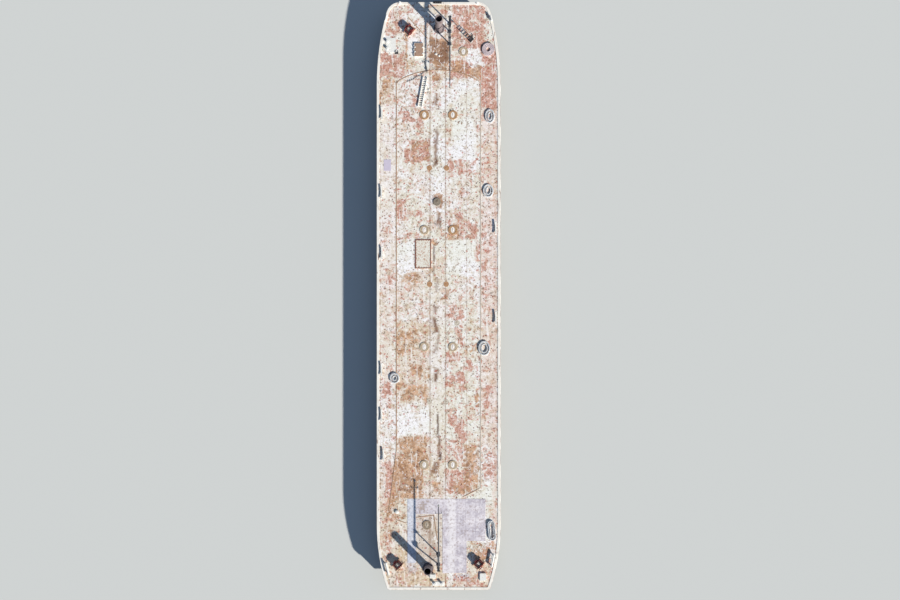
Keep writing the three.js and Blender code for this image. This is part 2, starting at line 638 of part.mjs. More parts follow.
function lockerLid() {
  const { width, length, high, hinge, pin, pinHigh, rod, lid } = LOCKER;
  const [edgeX, edgeY] = [width / 2, length / 2];
  const under = high + GAP;
  const plate = box([1 - edgeX, edgeX - 1], [-edgeY, edgeY - 2], [under, under + lid]);
  const arms = LOCKER_ARMS.places.map((x) => box(
    [x - LOCKER_ARMS.half, x + LOCKER_ARMS.half], [edgeY - 50, hinge + 6], [under + 1, under + 9]));
  const hingeRod = turned([[0, -rod], [pin, -rod], [pin, rod], [0, rod]], 12).rotateY(Math.PI / 2);
  const grip = box([-45, 45], [-edgeY - 12, 10 - edgeY], [under + 2, under + 9]);
  return join(plate, ...arms, grip, hingeRod.translate(0, hinge, high + pinHigh))
    .translate(0, -hinge, -high - pinHigh);
}
add('locker', locker(), FITTING_WHITE, LOCKER.x, LOCKER.y, DECK);
const LOCKER_PIN = DECK + LOCKER.high + LOCKER.pinHigh;
add('locker_lid', lockerLid(), FITTING_WHITE, LOCKER.x, LOCKER.y + LOCKER.hinge, LOCKER_PIN);

// Mushroom vent, round tank cover and the doubler plate on the after deck
const vent = turned([[0, 0], [55, 0], [55, 34], [100, 34], [96, 54], [50, 66], [0, 68]], 20);
add('vent', vent, FITTING_WHITE, -2080, -10800, DECK);
const roundCover = turned([[0, 0], [200, 0], [200, 24], [188, 34], [60, 36], [50, 46], [0, 46]], 20);
add('round_cover', roundCover, PLATE_GREY, -80, 4700, DECK);

const sternPlate = shapeOf([
  [-1555, -13350], [-1130, -13350], [-1130, -10900], [200, -10900], [200, -13850], [1400, -13850],
  [1400, -12250], [2345, -12250], [2345, -10150], [-1555, -10150],
]);
add('stern_plate', raised(sternPlate, 8), PLATE_GREY, 0, 0, DECK);

// Signal light stand forward: a small ladder frame with a lamp on a staff
const STAND = { x: 1620, y: 12825, half: 90, high: 440, foot: 12, leg: 17, rung: 12, turn: Math.PI / 4 };
const STAND_RUNGS = [80, 150, 220, 290, 360, 425];
const LAMP = { staff: 14, radius: 34, low: 600, high: 660, cap: 678 };

function lightStand() {
  const { half, high, foot, leg, rung } = STAND;
  const legAt = (x) => box([x - leg, x + leg], [-rung - 2, rung + 2], [foot / 2, high]);
  const rungs = STAND_RUNGS.map((z) => box([-half, half], [-rung, rung], [z - rung, z + rung]));
  const lamp = turned([
    [0, high - 20], [LAMP.staff, high - 20], [LAMP.staff, LAMP.low], [LAMP.radius, LAMP.low],
    [LAMP.radius, LAMP.high], [LAMP.radius / 2, LAMP.cap], [0, LAMP.cap],
  ], 16);
  const base = box([-half - 40, half + 40], [-half, half], [0, foot]);
  return join(base, legAt(-half), legAt(half), ...rungs, lamp);
}
add('light_stand', lightStand(), STEEL, STAND.x, STAND.y, DECK, STAND.turn);

// Ladder laid on the fore deck
const LADDER = {
  x: -805, y: 10190, turn: -0.18, length: 1520, width: 200, deep: 62, rail: 12, rungs: 14, rung: 14,
};

function ladder() {
  const { length, width, deep, rail, rungs, rung } = LADDER;
  const railAt = (x) => box([x - rail, x + rail], [-length / 2, length / 2], [0, deep]);
  const pieces = [];
  for (let i = 0; i < rungs; i++) {
    const y = -length / 2 + length * (i + 0.5) / rungs;
    pieces.push(box([-width / 2, width / 2], [y - rung, y + rung], [deep / 2 - 12, deep / 2 + 12]));
  }
  return join(railAt(-width / 2), railAt(width / 2), ...pieces);
}
add('ladder', ladder(), FITTING_WHITE, LADDER.x, LADDER.y, DECK, LADDER.turn);

// Mooring ropes and a hose laid up in coils: the outer shape of each
const COILS = [
  // name, x, y, half width, half length, height, height above the deck, material
  ['rope_coil_1', 2560, 8980, 250, 350, 56, 0, ROPE],
  ['rope_coil_2', 2480, 5250, 270, 330, 56, 0, ROPE],
  ['rope_coil_3', 2280, -2620, 300, 370, 56, CARGO.high + GAP, ROPE],
  ['rope_coil_4', -2200, -4115, 250, 270, 56, CARGO.high + GAP, ROPE],
  ['hose_coil', 2475, 12320, 330, 350, 60, 0, HOSE],
];
const COIL_HOLE = 0.6;
for (const [name, x, y, halfWidth, halfLength, high, lift, material] of COILS) {
  const ring = turned([
    [COIL_HOLE, 0], [0.96, 0], [1, high * 0.35], [0.96, high], [COIL_HOLE, high], [COIL_HOLE, 0],
  ], 20).scale(halfWidth, halfLength, 1);
  add(name, ring, material, x, y, DECK + lift);
}

function hank(half, radius, high) {
  const shape = new THREE.Shape();
  shape.absarc(0, half - radius, radius, 0, Math.PI, false);
  shape.absarc(0, radius - half, radius, Math.PI, 2 * Math.PI, false);
  return raised(shape, high);
}
add('rope_hank', hank(510, 195, 84), ROPE, 2650, -11725, DECK, 0.1);

export default object;
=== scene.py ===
import json
import math

import bmesh
import bpy
import numpy as np
from mathutils import Matrix, Vector, noise


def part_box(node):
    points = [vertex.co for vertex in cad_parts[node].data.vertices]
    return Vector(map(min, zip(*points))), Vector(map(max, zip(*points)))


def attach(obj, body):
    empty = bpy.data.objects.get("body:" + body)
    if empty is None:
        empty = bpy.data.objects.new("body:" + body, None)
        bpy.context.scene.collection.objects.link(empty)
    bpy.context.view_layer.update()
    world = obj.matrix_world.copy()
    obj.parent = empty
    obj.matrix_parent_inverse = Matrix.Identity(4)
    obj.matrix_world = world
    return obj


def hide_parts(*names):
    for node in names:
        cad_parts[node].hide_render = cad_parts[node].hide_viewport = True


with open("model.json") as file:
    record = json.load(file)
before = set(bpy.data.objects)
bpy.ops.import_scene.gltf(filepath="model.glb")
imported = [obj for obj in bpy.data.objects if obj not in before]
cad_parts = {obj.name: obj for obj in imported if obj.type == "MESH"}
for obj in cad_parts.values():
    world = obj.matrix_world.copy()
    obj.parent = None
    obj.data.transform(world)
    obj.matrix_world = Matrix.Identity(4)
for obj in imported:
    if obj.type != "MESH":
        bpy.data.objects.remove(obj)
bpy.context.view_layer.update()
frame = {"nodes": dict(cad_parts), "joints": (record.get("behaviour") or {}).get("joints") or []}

# Camera: looks straight down from well above the after deck, with the picture's frame shifted
# forward, so that the sides stay parallel and every upright piece leans away from one point.
PHOTO_WIDTH_PX = 900
METRES_PER_PX = 0.05
SENSOR_MM = 36.0
CAMERA_ABOVE_DECK = 45.3
CAMERA_OVER = (0.32, -6.7)
FRAME_SHIFT_PX = (5, 130)
FARTHEST_SEEN = 300
deck_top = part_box("deck_plating")[1].z
camera_data = bpy.data.cameras.new("camera")
camera_data.sensor_width = SENSOR_MM
camera_data.lens = SENSOR_MM * CAMERA_ABOVE_DECK / (PHOTO_WIDTH_PX * METRES_PER_PX)
camera_data.shift_x, camera_data.shift_y = (shift / PHOTO_WIDTH_PX for shift in FRAME_SHIFT_PX)
camera_data.clip_end = FARTHEST_SEEN
camera = bpy.data.objects.new("camera", camera_data)
camera.location = (*CAMERA_OVER, deck_top + CAMERA_ABOVE_DECK)
bpy.context.scene.collection.objects.link(camera)
bpy.context.scene.camera = camera


# Mooring ropes: three-strand polyamide, dropped on the side decks in two loose bundles of turns,
# one within the other, with both ends whipped. The lay of the strands is real geometry.
def linear(hex_colour):
    """A colour given as sRGB hex, as the linear RGBA that a node takes."""
    parts = [int(hex_colour[i:i + 2], 16) / 255 for i in (0, 2, 4)]
    return [p / 12.92 if p <= 0.04045 else ((p + 0.055) / 1.055) ** 2.4 for p in parts] + [1.0]


def set_inputs(made, inputs):
    """Sets or links a node's inputs. A node given as an input is linked by the first output that it
    shows, and a text is a colour in sRGB hex."""
    for key, value in inputs.items():
        if isinstance(value, bpy.types.Node):
            value = next(output for output in value.outputs if output.enabled)
        if isinstance(value, bpy.types.NodeSocket):
            made.id_data.links.new(value, made.inputs[key])
        else:
            made.inputs[key].default_value = linear(value) if isinstance(value, str) else value


def node(tree, kind, inputs=None, **settings):
    """Adds a node, sets its properties, and sets or links its inputs."""
    made = tree.nodes.new("ShaderNode" + kind)
    for name, value in settings.items():
        setattr(made, name, value)
    set_inputs(made, inputs or {})
    return made


def new_finish(name):
    """An empty material, its node tree and the place on the piece, in metres."""
    material = bpy.data.materials.new(name)
    material.use_nodes = True
    return material, material.node_tree, node(material.node_tree, "TexCoord").outputs["Object"]


def laid_over(tree, under, pattern, low, high, most, hue):
    """A colour over another one, in the share that a pattern's rise from low to high gives it."""
    share = node(tree, "MapRange", {"Value": pattern, "From Min": low, "From Max": high, "To Max": most})
    return node(tree, "Mix", {"Factor": share, "A": under, "B": hue}, data_type="RGBA")


def finished(material, inputs, relief=None, strength=0.3, depth=0.002):
    """Gives a material the inputs of its shader, and the relief of a pattern where one is given."""
    if relief is not None:
        bump = node(material.node_tree, "Bump", {"Height": relief, "Strength": strength, "Distance": depth})
        inputs = {**inputs, "Normal": bump}
    set_inputs(material.node_tree.nodes["Principled BSDF"], inputs)
    return material


def new_piece(name, mesh, body, material, replaces=(), smooth_below=None):
    """Puts a finished mesh into the scene as a piece that rides on a body."""
    made = bpy.data.objects.new(name, mesh)
    bpy.context.scene.collection.objects.link(made)
    mesh.materials.append(material)
    if smooth_below is not None:
        mesh.shade_smooth()
        mesh.set_sharp_from_angle(angle=math.radians(smooth_below))
    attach(made, body)
    if replaces:
        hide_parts(*replaces)
    return made


def tube_mesh(name, route, radii, sides, twist=None):
    """A closed tube round a route. radii gives the radius for each angle round the section."""
    route = np.array(route, float)
    along = np.gradient(route, axis=0)
    along /= np.linalg.norm(along, axis=1)[:, None]
    across = np.cross(np.array([0.0, 0.0, 1.0]), along)
    across /= np.linalg.norm(across, axis=1)[:, None]
    up = np.cross(along, across)
    angles = np.linspace(0, 2 * np.pi, sides, endpoint=False)
    turned = angles[None, :] - (twist[:, None] if twist is not None else 0)
    reach = radii(turned)[:, :, None]
    rings = (route[:, None, :] + reach * (np.cos(angles)[None, :, None] * across[:, None, :]
                                          + np.sin(angles)[None, :, None] * up[:, None, :]))
    count = len(route)
    faces = [
        (i * sides + j, i * sides + (j + 1) % sides, (i + 1) * sides + (j + 1) % sides, (i + 1) * sides + j)
        for i in range(count - 1) for j in range(sides)
    ]
    faces.append(tuple(reversed(range(sides))))
    faces.append(tuple(range((count - 1) * sides, count * sides)))
    mesh = bpy.data.meshes.new(name)
    mesh.from_pydata(rings.reshape(-1, 3).tolist(), [], [tuple(reversed(f)) for f in faces])
    mesh.update()
    return mesh


TURN_SPACING = 1.05
CLIMB_TURNS = 0.25
DROP_TURNS = 0.5


def coil_route(low, high, diameter, bundles, layers, points_per_turn, straight=0.0):
    """The centreline of a coil laid up between two corners, its outermost bundle first. A bundle is
    how far in it starts and how many turns wide it is. It is laid to and fro in layers, with a
    climb of a quarter turn between them, and the rope then drops to the next bundle inward."""
    centre = (low + high) / 2
    half = (high - low) / 2
    pitch = diameter * TURN_SPACING
    rise = (half.z * 2 - diameter) / (layers - 1)
    legs = []
    for number, (outer, turns) in enumerate(bundles):
        depths = [outer, outer + turns * pitch]
        inner_ones = bundles[number + 1:]
        if inner_ones:
            depths.reverse()
        for layer in range(layers):
            legs.append((turns, depths[0], depths[1], layer * rise, layer * rise))
            depths.reverse()
            if layer < layers - 1:
                legs.append((CLIMB_TURNS, depths[0], depths[0], layer * rise, (layer + 1) * rise))
        if inner_ones:
            legs.append((DROP_TURNS, depths[0], inner_ones[0][0], (layers - 1) * rise, 0.0))
    route = []
    angle = 0.0
    for turns, depth_from, depth_to, height_from, height_to in legs:
        count = int(turns * points_per_turn)
        for i in range(count):
            share = i / count
            ease = share * share * (3 - 2 * share) if height_from != height_to else share
            depth = depth_from + (depth_to - depth_from) * ease
            radius_x = half.x - diameter / 2 - depth
            radius_y = half.y - straight - diameter / 2 - depth
            end = straight * math.tanh(6 * math.sin(angle))
            route.append((centre.x + radius_x * math.cos(angle),
                          centre.y + radius_y * math.sin(angle) + end,
                          low.z + diameter / 2 + height_from + (height_to - height_from) * ease))
            angle += 2 * math.pi / points_per_turn
    return np.array(route)


def rope_finish():
    """Polyamide three-strand rope, laid and weathered: off-white, dull, dirty in the lay."""
    material, tree, place = new_finish("laid_polyamide_rope")
    fibre = node(tree, "TexNoise", {"Vector": place, "Scale": 1 / 0.012, "Detail": 6.0})
    salt = node(tree, "TexNoise", {"Vector": place, "Scale": 1 / 0.15, "Detail": 3.0})
    shade = node(tree, "ValToRGB", {"Fac": salt})
    for stop, position, hue in zip(shade.color_ramp.elements, (0.35, 0.62), ("ccd0d5", "f4f6f8")):
        stop.position = position
        stop.color = linear(hue)
    dirt = node(tree, "Mix", {"Factor": fibre, "A": "bcc1c6", "B": shade}, data_type="RGBA")
    return finished(material, {"Base Color": dirt, "Roughness": 0.85}, fibre, 0.4)


def two_tones(name, size, detail, dark, pale, inputs):
    """A plain finish of two tones of one colour, clouded in patches of a size in metres."""
    material, tree, place = new_finish(name)
    cloud = node(tree, "TexNoise", {"Vector": place, "Scale": 1 / size, "Detail": detail})
    shade = node(tree, "Mix", {"Factor": cloud, "A": dark, "B": pale}, data_type="RGBA")
    return finished(material, {"Base Color": shade, **inputs})


ROPE_DIAMETER = 0.026
ROPE_LAY = 3 * ROPE_DIAMETER
ROPE_SIDES = 12
STRAND_DEPTH = 0.16
WHIPPING_LENGTH = 0.045
TWINE_THICK = 0.0015
COIL_BUNDLES = [(0.0, 2), (0.12, 1.5)]
rope_paint = rope_finish()
# Waxed twine, hard laid: dark tan and slightly glossy
twine = two_tones("waxed_whipping_twine", 0.02, 4.0, "4f3f2e", "8a7354", {"Roughness": 0.5})


def three_strands(angles):
    """Radius round a three-strand rope's section."""
    half = ROPE_DIAMETER / 2
    return half * (1 - STRAND_DEPTH + STRAND_DEPTH * np.abs(np.cos(1.5 * angles)))


def end_bands(name, route, covered_points, overhang, radii, finish):
    """A band closed over each end of a cord. covered_points says how many points of the route it
    covers, from the lengths up to each, and radii gives the radius at every one of them."""
    made = bmesh.new()
    for end in (route, route[::-1]):
        steps = np.linalg.norm(np.diff(end, axis=0), axis=1).cumsum()
        covered = end[:covered_points(steps)].copy()
        covered[0] -= (covered[1] - covered[0]) * overhang
        rings = radii(len(covered))
        band = tube_mesh("band", covered, lambda angles: rings * np.ones_like(angles), ROPE_SIDES)
        made.from_mesh(band)
        bpy.data.meshes.remove(band)
    mesh = bpy.data.meshes.new(name)
    made.to_mesh(mesh)
    made.free()
    return new_piece(name, mesh, "barge", finish, smooth_below=50)


def whipped_points(steps):
    """How many points of a rope a whipping covers: its length, and at least five."""
    return max(int(np.searchsorted(steps, WHIPPING_LENGTH)), 4) + 1


def whipping_turns(count):
    """Radius of each turn of twine, with the first one drawn in over the cut strands."""
    turns = np.full((count, 1), ROPE_DIAMETER / 2 + TWINE_THICK)
    turns[0] *= 0.6
    turns[1::2] *= 0.95
    return turns


def laid_rope(name, route):
    """One rope along its route, with its strands twisted once in every lay."""
    steps = np.concatenate([[0], np.linalg.norm(np.diff(route, axis=0), axis=1).cumsum()])
    mesh = tube_mesh(name + "_laid", route, three_strands, ROPE_SIDES, 2 * np.pi * steps / ROPE_LAY)
    rope = new_piece(name + "_laid", mesh, "barge", rope_paint, (name,), smooth_below=80)
    ends = end_bands(name + "_whipping", route, whipped_points, 0.4, whipping_turns, twine)


for coil in ("rope_coil_1", "rope_coil_2", "rope_coil_3", "rope_coil_4"):
    low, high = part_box(coil)
    laid_rope(coil, coil_route(low, high, ROPE_DIAMETER, COIL_BUNDLES, 2, 120))

# Rope hank on the starboard quarter: the same rope laid up in long oval turns, lying at a slight
# angle to the side
HANK_HALF_LENGTH = 0.51
HANK_HALF_WIDTH = 0.195
HANK_TURN = 0.1
low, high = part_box("rope_hank")
middle = (low + high) / 2
flat_low = Vector((-HANK_HALF_WIDTH, -HANK_HALF_LENGTH, low.z))
flat_high = Vector((HANK_HALF_WIDTH, HANK_HALF_LENGTH, high.z))
HANK_BUNDLES = [(0.0, 1.5), (0.085, 1)]
route = coil_route(flat_low, flat_high, ROPE_DIAMETER, HANK_BUNDLES, 3, 170,
                   straight=HANK_HALF_LENGTH - HANK_HALF_WIDTH)
cos, sin = math.cos(HANK_TURN), math.sin(HANK_TURN)
route[:, :2] = route[:, :2] @ np.array([[cos, sin], [-sin, cos]]) + np.array([middle.x, middle.y])
laid_rope("rope_hank", route)

# Hose on the fore deck: a flat two-layer coil of canvas-covered hose, wound nearly to its middle,
# with a brass coupling on each end
HOSE_DIAMETER = 0.03
HOSE_BUNDLES = [(0.0, 7)]
COUPLING_LENGTH = 0.07
COUPLING_WALL = 0.003
low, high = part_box("hose_coil")
route = coil_route(low, high, HOSE_DIAMETER, HOSE_BUNDLES, 2, 64)
material, tree, place = new_finish("woven_canvas_hose")
weave = node(tree, "TexWave", {"Vector": place, "Scale": 1 / 0.012, "Distortion": 1.5})
fade = node(tree, "TexNoise", {"Vector": place, "Scale": 1 / 0.2, "Detail": 4.0})
shade = node(tree, "Mix", {"Factor": fade, "A": "b7a9ac", "B": "ddd0d4"}, data_type="RGBA")
canvas = finished(material, {"Base Color": shade, "Roughness": 0.8}, weave.outputs["Fac"], depth=0.001)
mesh = tube_mesh("hose_laid", route, lambda angles: np.full_like(angles, HOSE_DIAMETER / 2), ROPE_SIDES)
hose = new_piece("hose_laid", mesh, "barge", canvas, ("hose_coil",), smooth_below=80)
# Cast brass: dull yellow metal with brown tarnish in its hollows
brass = two_tones("cast_brass_coupling", 0.03, 5.0, "6a5430", "b8975a", {"Metallic": 1.0, "Roughness": 0.4})


def coupled_points(steps):
    """How many points of the hose a coupling covers: its length and two more."""
    return int(np.searchsorted(steps, COUPLING_LENGTH)) + 3


def coupling_rings(count):
    """Radius along a coupling, with its lugs as a thicker ring near the end."""
    rings = np.full((count, 1), HOSE_DIAMETER / 2 + COUPLING_WALL)
    rings[1] += COUPLING_WALL
    return rings


couplings = end_bands("hose_couplings", route, coupled_points, 0.6, coupling_rings, brass)


# Hull: welded steel shell under black bitumen paint, with side rub strakes. The paint is dull,
# scuffed brown along the strakes and stained at the waterline, and the plates' butts stand proud.
WATERLINE = 0.3
PLATE_LENGTH = 1.5
STRAKE_FACE = 3.06
SHARP_EDGE = 40


def bitumen_hull():
    """Dull black bitumen paint, streaked with rust, brown where the strakes are rubbed and olive in
    a band at the waterline."""
    material, tree, place = new_finish("bitumen_coated_hull_plate")
    runs = node(tree, "Mapping", {"Vector": place, "Scale": (1.0, 1.0, 0.15)})
    streaks = node(tree, "TexNoise", {"Vector": runs, "Scale": 1 / 0.25, "Detail": 6.0, "Roughness": 0.6})
    scuffs = node(tree, "TexNoise", {"Vector": place, "Scale": 1 / 0.6, "Detail": 8.0})
    grains = node(tree, "TexNoise", {"Vector": place, "Scale": 1 / 0.05, "Detail": 4.0})
    split = node(tree, "SeparateXYZ", {"Vector": place})
    dull = node(tree, "Mix", {"Factor": scuffs, "A": "1f2226", "B": "43464a"}, data_type="RGBA")
    rusty = laid_over(tree, dull, streaks, 0.52, 0.68, 1.0, "5f4030")
    wet = laid_over(tree, rusty, split.outputs["Z"], WATERLINE + 0.08, WATERLINE - 0.02, 1.0, "3d3f33")
    beam = node(tree, "Math", {0: split.outputs["X"]}, operation="ABSOLUTE")
    proud = node(tree, "MapRange", {"Value": beam, "From Min": STRAKE_FACE - 0.01,
                                    "From Max": STRAKE_FACE + 0.02})
    rubbed = node(tree, "Math", {0: proud, 1: grains}, operation="MULTIPLY")
    worn = node(tree, "Mix", {"Factor": rubbed, "A": wet, "B": "9a7f6c"}, data_type="RGBA")
    butt = node(tree, "Math", {0: split.outputs["Y"], 1: PLATE_LENGTH / 2}, operation="PINGPONG")
    bead = node(tree, "MapRange", {"Value": butt, "From Min": 0.012, "From Max": 0.004})
    relief = node(tree, "Math", {0: grains, 1: 0.3, 2: bead}, operation="MULTIPLY_ADD")
    return finished(material, {"Base Color": worn, "Roughness": 0.6}, relief, 0.5, 0.006)


def soften(made, width):
    """Rounds a piece's sharp edges by a small bevel."""
    softened = made.modifiers.new("edges", "BEVEL")
    softened.width = width
    softened.segments = 2
    softened.limit_method = "ANGLE"
    softened.angle_limit = math.radians(SHARP_EDGE)


def repaint(cad_node, material, bevel=None):
    """Gives a CAD node that keeps its shape its real finish, and softens its edges."""
    shown = frame["nodes"][cad_node]
    shown.data.materials.clear()
    shown.data.materials.append(material)
    if bevel:
        soften(shown, bevel)


hull_paint = bitumen_hull()
for part in ("hull", "skeg_port", "skeg_starboard"):
    repaint(part, hull_paint)

# Deck: steel plate under a pale paint that has worn to its red primer and to rust. The regions
# of wear are the ones seen on the real deck; noise breaks them up into flakes and specks.
PLATE_STEP = 0.05
WEAR = {
    # centre x and y, half width and half length, strength
    "rust": [
        (0.02, 12.26, 0.42, 0.66, 1.0), (0.13, 11.53, 0.51, 0.28, 0.9), (-0.13, 10.95, 0.20, 0.30, 0.8),
        (1.06, 11.40, 0.41, 0.30, 0.85), (1.67, 11.18, 0.50, 0.33, 0.75), (-1.62, 12.03, 0.09, 1.07, 0.8),
        (-2.53, 10.55, 0.40, 0.25, 0.85), (-2.63, 9.90, 0.30, 0.40, 0.5), (-0.13, 9.83, 0.10, 0.28, 0.8),
        (-1.06, 7.03, 0.58, 0.28, 0.5), (-0.86, 7.45, 0.38, 0.30, 0.5),
        (-0.08, 4.72, 0.26, 0.38, 0.9), (-0.02, 4.25, 0.15, 0.20, 0.8), (0.19, 3.55, 0.12, 0.15, 0.6),
        (0.72, 3.21, 0.28, 0.41, 0.85), (-0.18, 2.65, 0.15, 0.20, 0.8),
        (-1.41, 1.33, 0.33, 0.08, 0.6), (-1.53, 0.78, 0.50, 0.33, 0.5), (0.37, 0.08, 0.15, 0.28, 0.9),
        (0.40, 0.15, 0.10, 0.22, 1.0), (0.15, -0.25, 0.12, 0.20, 0.8), (-1.56, -2.08, 0.53, 0.38, 0.75),
        (-1.66, -2.70, 0.48, 0.25, 0.7), (-1.16, -3.68, 0.33, 0.28, 1.0), (-0.73, -4.05, 0.30, 0.15, 0.6),
        (-1.33, -4.78, 0.75, 0.43, 0.7), (1.59, -2.53, 0.33, 0.23, 0.6), (1.89, -5.03, 0.12, 0.43, 0.8),
        (-1.31, -7.68, 0.73, 0.62, 0.95), (-1.56, -9.20, 0.83, 0.90, 0.95),
        (-0.12, -8.55, 0.26, 0.30, 0.9), (-0.11, -9.47, 0.18, 0.62, 0.6), (1.67, -8.58, 0.40, 1.07, 0.8),
        (1.12, -9.55, 0.65, 0.35, 0.6), (-2.06, -10.65, 0.48, 0.55, 0.6), (-2.43, -11.70, 0.40, 0.50, 0.4),
        (2.19, -12.70, 0.62, 0.50, 0.5),
    ],
    "primer": [
        (1.51, 13.48, 0.81, 1.07, 0.75), (2.49, 10.93, 0.43, 1.62, 0.85), (-2.23, 13.65, 0.50, 0.65, 0.6),
        (-2.33, 11.53, 0.60, 0.62, 0.85), (-1.18, 9.68, 0.15, 0.38, 0.7), (-1.51, 9.00, 0.38, 0.30, 0.6),
        (-1.11, 7.03, 0.62, 0.28, 1.0), (-0.91, 7.50, 0.43, 0.30, 0.8), (-1.03, 8.55, 0.30, 0.50, 0.5),
        (1.27, 6.45, 0.70, 0.45, 0.55), (2.39, 7.05, 0.28, 2.25, 0.15), (2.39, 2.30, 0.28, 2.50, 0.2),
        (-1.88, 4.30, 0.20, 0.60, 0.9), (-0.96, 4.12, 0.18, 0.18, 0.9), (1.02, 3.98, 0.25, 0.18, 0.8),
        (-1.28, 2.96, 0.25, 0.14, 0.7), (1.44, 3.30, 0.53, 0.50, 0.55), (1.96, 2.12, 0.14, 0.43, 0.8),
        (0.67, -0.73, 0.20, 0.28, 0.7), (1.12, -0.83, 0.15, 0.38, 0.7), (1.09, -1.95, 0.12, 0.50, 0.8),
        (0.87, -3.00, 0.45, 0.20, 0.7), (1.44, -3.48, 0.23, 0.28, 0.8), (1.07, -4.05, 0.20, 0.30, 0.9),
        (0.62, -4.30, 0.25, 0.30, 0.8), (1.19, -4.65, 0.18, 0.15, 0.7), (0.69, -6.23, 0.18, 0.28, 0.8),
        (1.09, -6.55, 0.23, 0.25, 0.9), (1.17, -7.03, 0.20, 0.23, 0.9), (0.77, -7.75, 0.40, 0.55, 0.5),
        (-2.58, -4.75, 0.20, 0.50, 0.8), (-1.23, -5.62, 0.20, 0.18, 0.7), (-2.53, -9.25, 0.20, 0.95, 0.7),
        (1.04, -9.30, 0.68, 0.60, 0.7), (2.47, -5.00, 0.20, 0.55, 0.7), (2.54, -8.40, 0.28, 0.80, 0.6),
        (1.15, 11.35, 0.53, 0.42, 1.0),
        (-2.53, -11.70, 0.20, 1.50, 0.5), (2.47, -13.45, 0.40, 1.00, 0.5), (1.77, -14.28, 1.10, 0.33, 0.5),
        (-1.93, -14.28, 0.20, 0.33, 0.5), (-2.56, 3.05, 0.23, 0.75, 0.4), (-2.53, 0.90, 0.20, 0.40, 0.5),
    ],
    "bare": [
        (0.24, 12.22, 0.22, 0.58, 1.0), (-0.2, 12.30, 0.2, 0.55, 0.75), (-0.17, 9.85, 0.07, 0.27, 0.9),
        (-0.15, 7.50, 0.07, 0.90, 1.0), (-0.10, 4.75, 0.22, 0.24, 0.7), (-0.02, 3.78, 0.10, 0.32, 1.0),
        (-0.03, 0.60, 0.04, 0.35, 0.8), (-0.19, -0.62, 0.08, 0.20, 0.9),
        (-0.18, -1.40, 0.09, 0.36, 1.0), (-0.12, -2.05, 0.05, 0.32, 0.8), (-0.18, -2.62, 0.10, 0.22, 0.6),
        (-0.16, -3.97, 0.09, 0.40, 1.0), (0.02, -7.70, 0.06, 0.50, 0.9),
        (-0.12, -8.58, 0.18, 0.28, 0.8), (-1.55, -9.30, 0.40, 0.40, 0.3), (-0.42, -12.00, 0.18, 0.40, 0.4),
        (-0.24, -12.75, 0.20, 0.40, 0.35), (-0.55, -11.42, 0.35, 0.35, 0.2),
    ],
    "score": [
        (-0.24, 2.10, 0.03, 0.35, 0.8), (-0.23, 1.25, 0.03, 0.25, 0.6), (-0.05, -6.42, 0.03, 0.50, 1.0),
        (0.08, -8.02, 0.05, 0.20, 0.8), (0.02, -7.20, 0.02, 0.30, 0.7), (-0.10, 6.75, 0.05, 0.12, 0.8),
        (0.10, 3.62, 0.04, 0.25, 0.6), (-0.17, -1.45, 0.03, 0.25, 0.6), (-0.14, -4.05, 0.03, 0.22, 0.7),
    ],
    "blush": [
        (2.52, 1.50, 0.36, 9.0, 0.6), (2.81, 0.0, 0.09, 12.0, 1.0), (-2.52, -9.5, 0.36, 1.2, 0.5),
        (-2.55, 3.0, 0.36, 7.5, 0.35),
    ],
    "sound": [
        (1.24, 7.80, 0.58, 1.00, 0.9), (-1.64, 1.90, 0.41, 0.80, 0.8), (1.12, 1.88, 0.70, 0.88, 1.0),
        (0.39, 9.75, 0.28, 0.55, 0.8), (1.39, 10.00, 0.58, 0.70, 0.5), (-1.08, 12.35, 0.40, 0.55, 0.8),
        (-0.16, -2.98, 0.28, 0.53, 0.6), (-0.28, -7.08, 0.15, 1.62, 0.6), (-1.24, -6.28, 0.81, 0.73, 0.6),
        (-2.58, 6.38, 0.35, 3.08, 0.4), (2.09, -9.95, 0.73, 0.25, 0.9), (1.74, 11.95, 0.33, 0.35, 0.7),
        (-2.51, 2.25, 0.28, 0.55, 0.5), (2.44, 4.55, 0.18, 0.50, 0.4), (0.14, -4.38, 0.12, 0.83, 0.6),
        (-0.04, 6.50, 0.36, 2.30, 0.6), (-0.04, -1.50, 0.36, 2.60, 0.5), (-0.10, -5.60, 0.30, 1.80, 0.7),
        (-0.50, -12.20, 0.75, 1.30, 0.5),
    ],
    "tan": [
        (-0.81, -13.48, 1.23, 1.03, 0.9), (0.10, 14.31, 0.35, 0.29, 0.8), (-0.50, -12.20, 0.75, 1.40, 0.7),
        (-2.26, -12.33, 0.68, 2.12, 0.5), (1.77, -13.90, 1.10, 0.70, 0.5), (-1.26, 0.45, 0.83, 0.65, 0.4),
        (-2.58, 9.95, 0.35, 0.45, 0.5), (-1.26, -3.30, 0.83, 2.00, 0.65), (-0.91, -8.60, 1.23, 1.60, 0.5),
        (1.64, -8.58, 0.48, 1.38, 0.3), (-0.04, -2.50, 0.34, 4.50, 0.35),
    ],
    "lilac": [
        (1.12, -14.05, 0.45, 0.18, 0.8), (1.90, -10.30, 0.60, 0.15, 0.3), (-1.35, -13.55, 0.22, 0.25, 0.7),
        (-0.50, -12.20, 0.75, 1.30, 0.3), (-0.60, -11.42, 0.30, 0.30, 0.3),
    ],
}
RAGGED = 0.14
RAGGED_SCORE = 0.04
SOFT_EDGE = 0.12
WEAR_SEED = 5
# bends to a metre, and the level at which the noise is cut
BROAD_BENDS = (1.6, 3.7)
FINE_BENDS = (5.0, 9.1)
noise.seed_set(WEAR_SEED)


def bends(points):
    """How far, in parts of the raggedness, the edges of worn regions are shifted at each point."""
    broad, fine = (
        np.array([noise.noise_vector(Vector((x * per_metre, y * per_metre, level)))[:2] for x, y in points])
        for per_metre, level in (BROAD_BENDS, FINE_BENDS)
    )
    return broad + 0.5 * fine


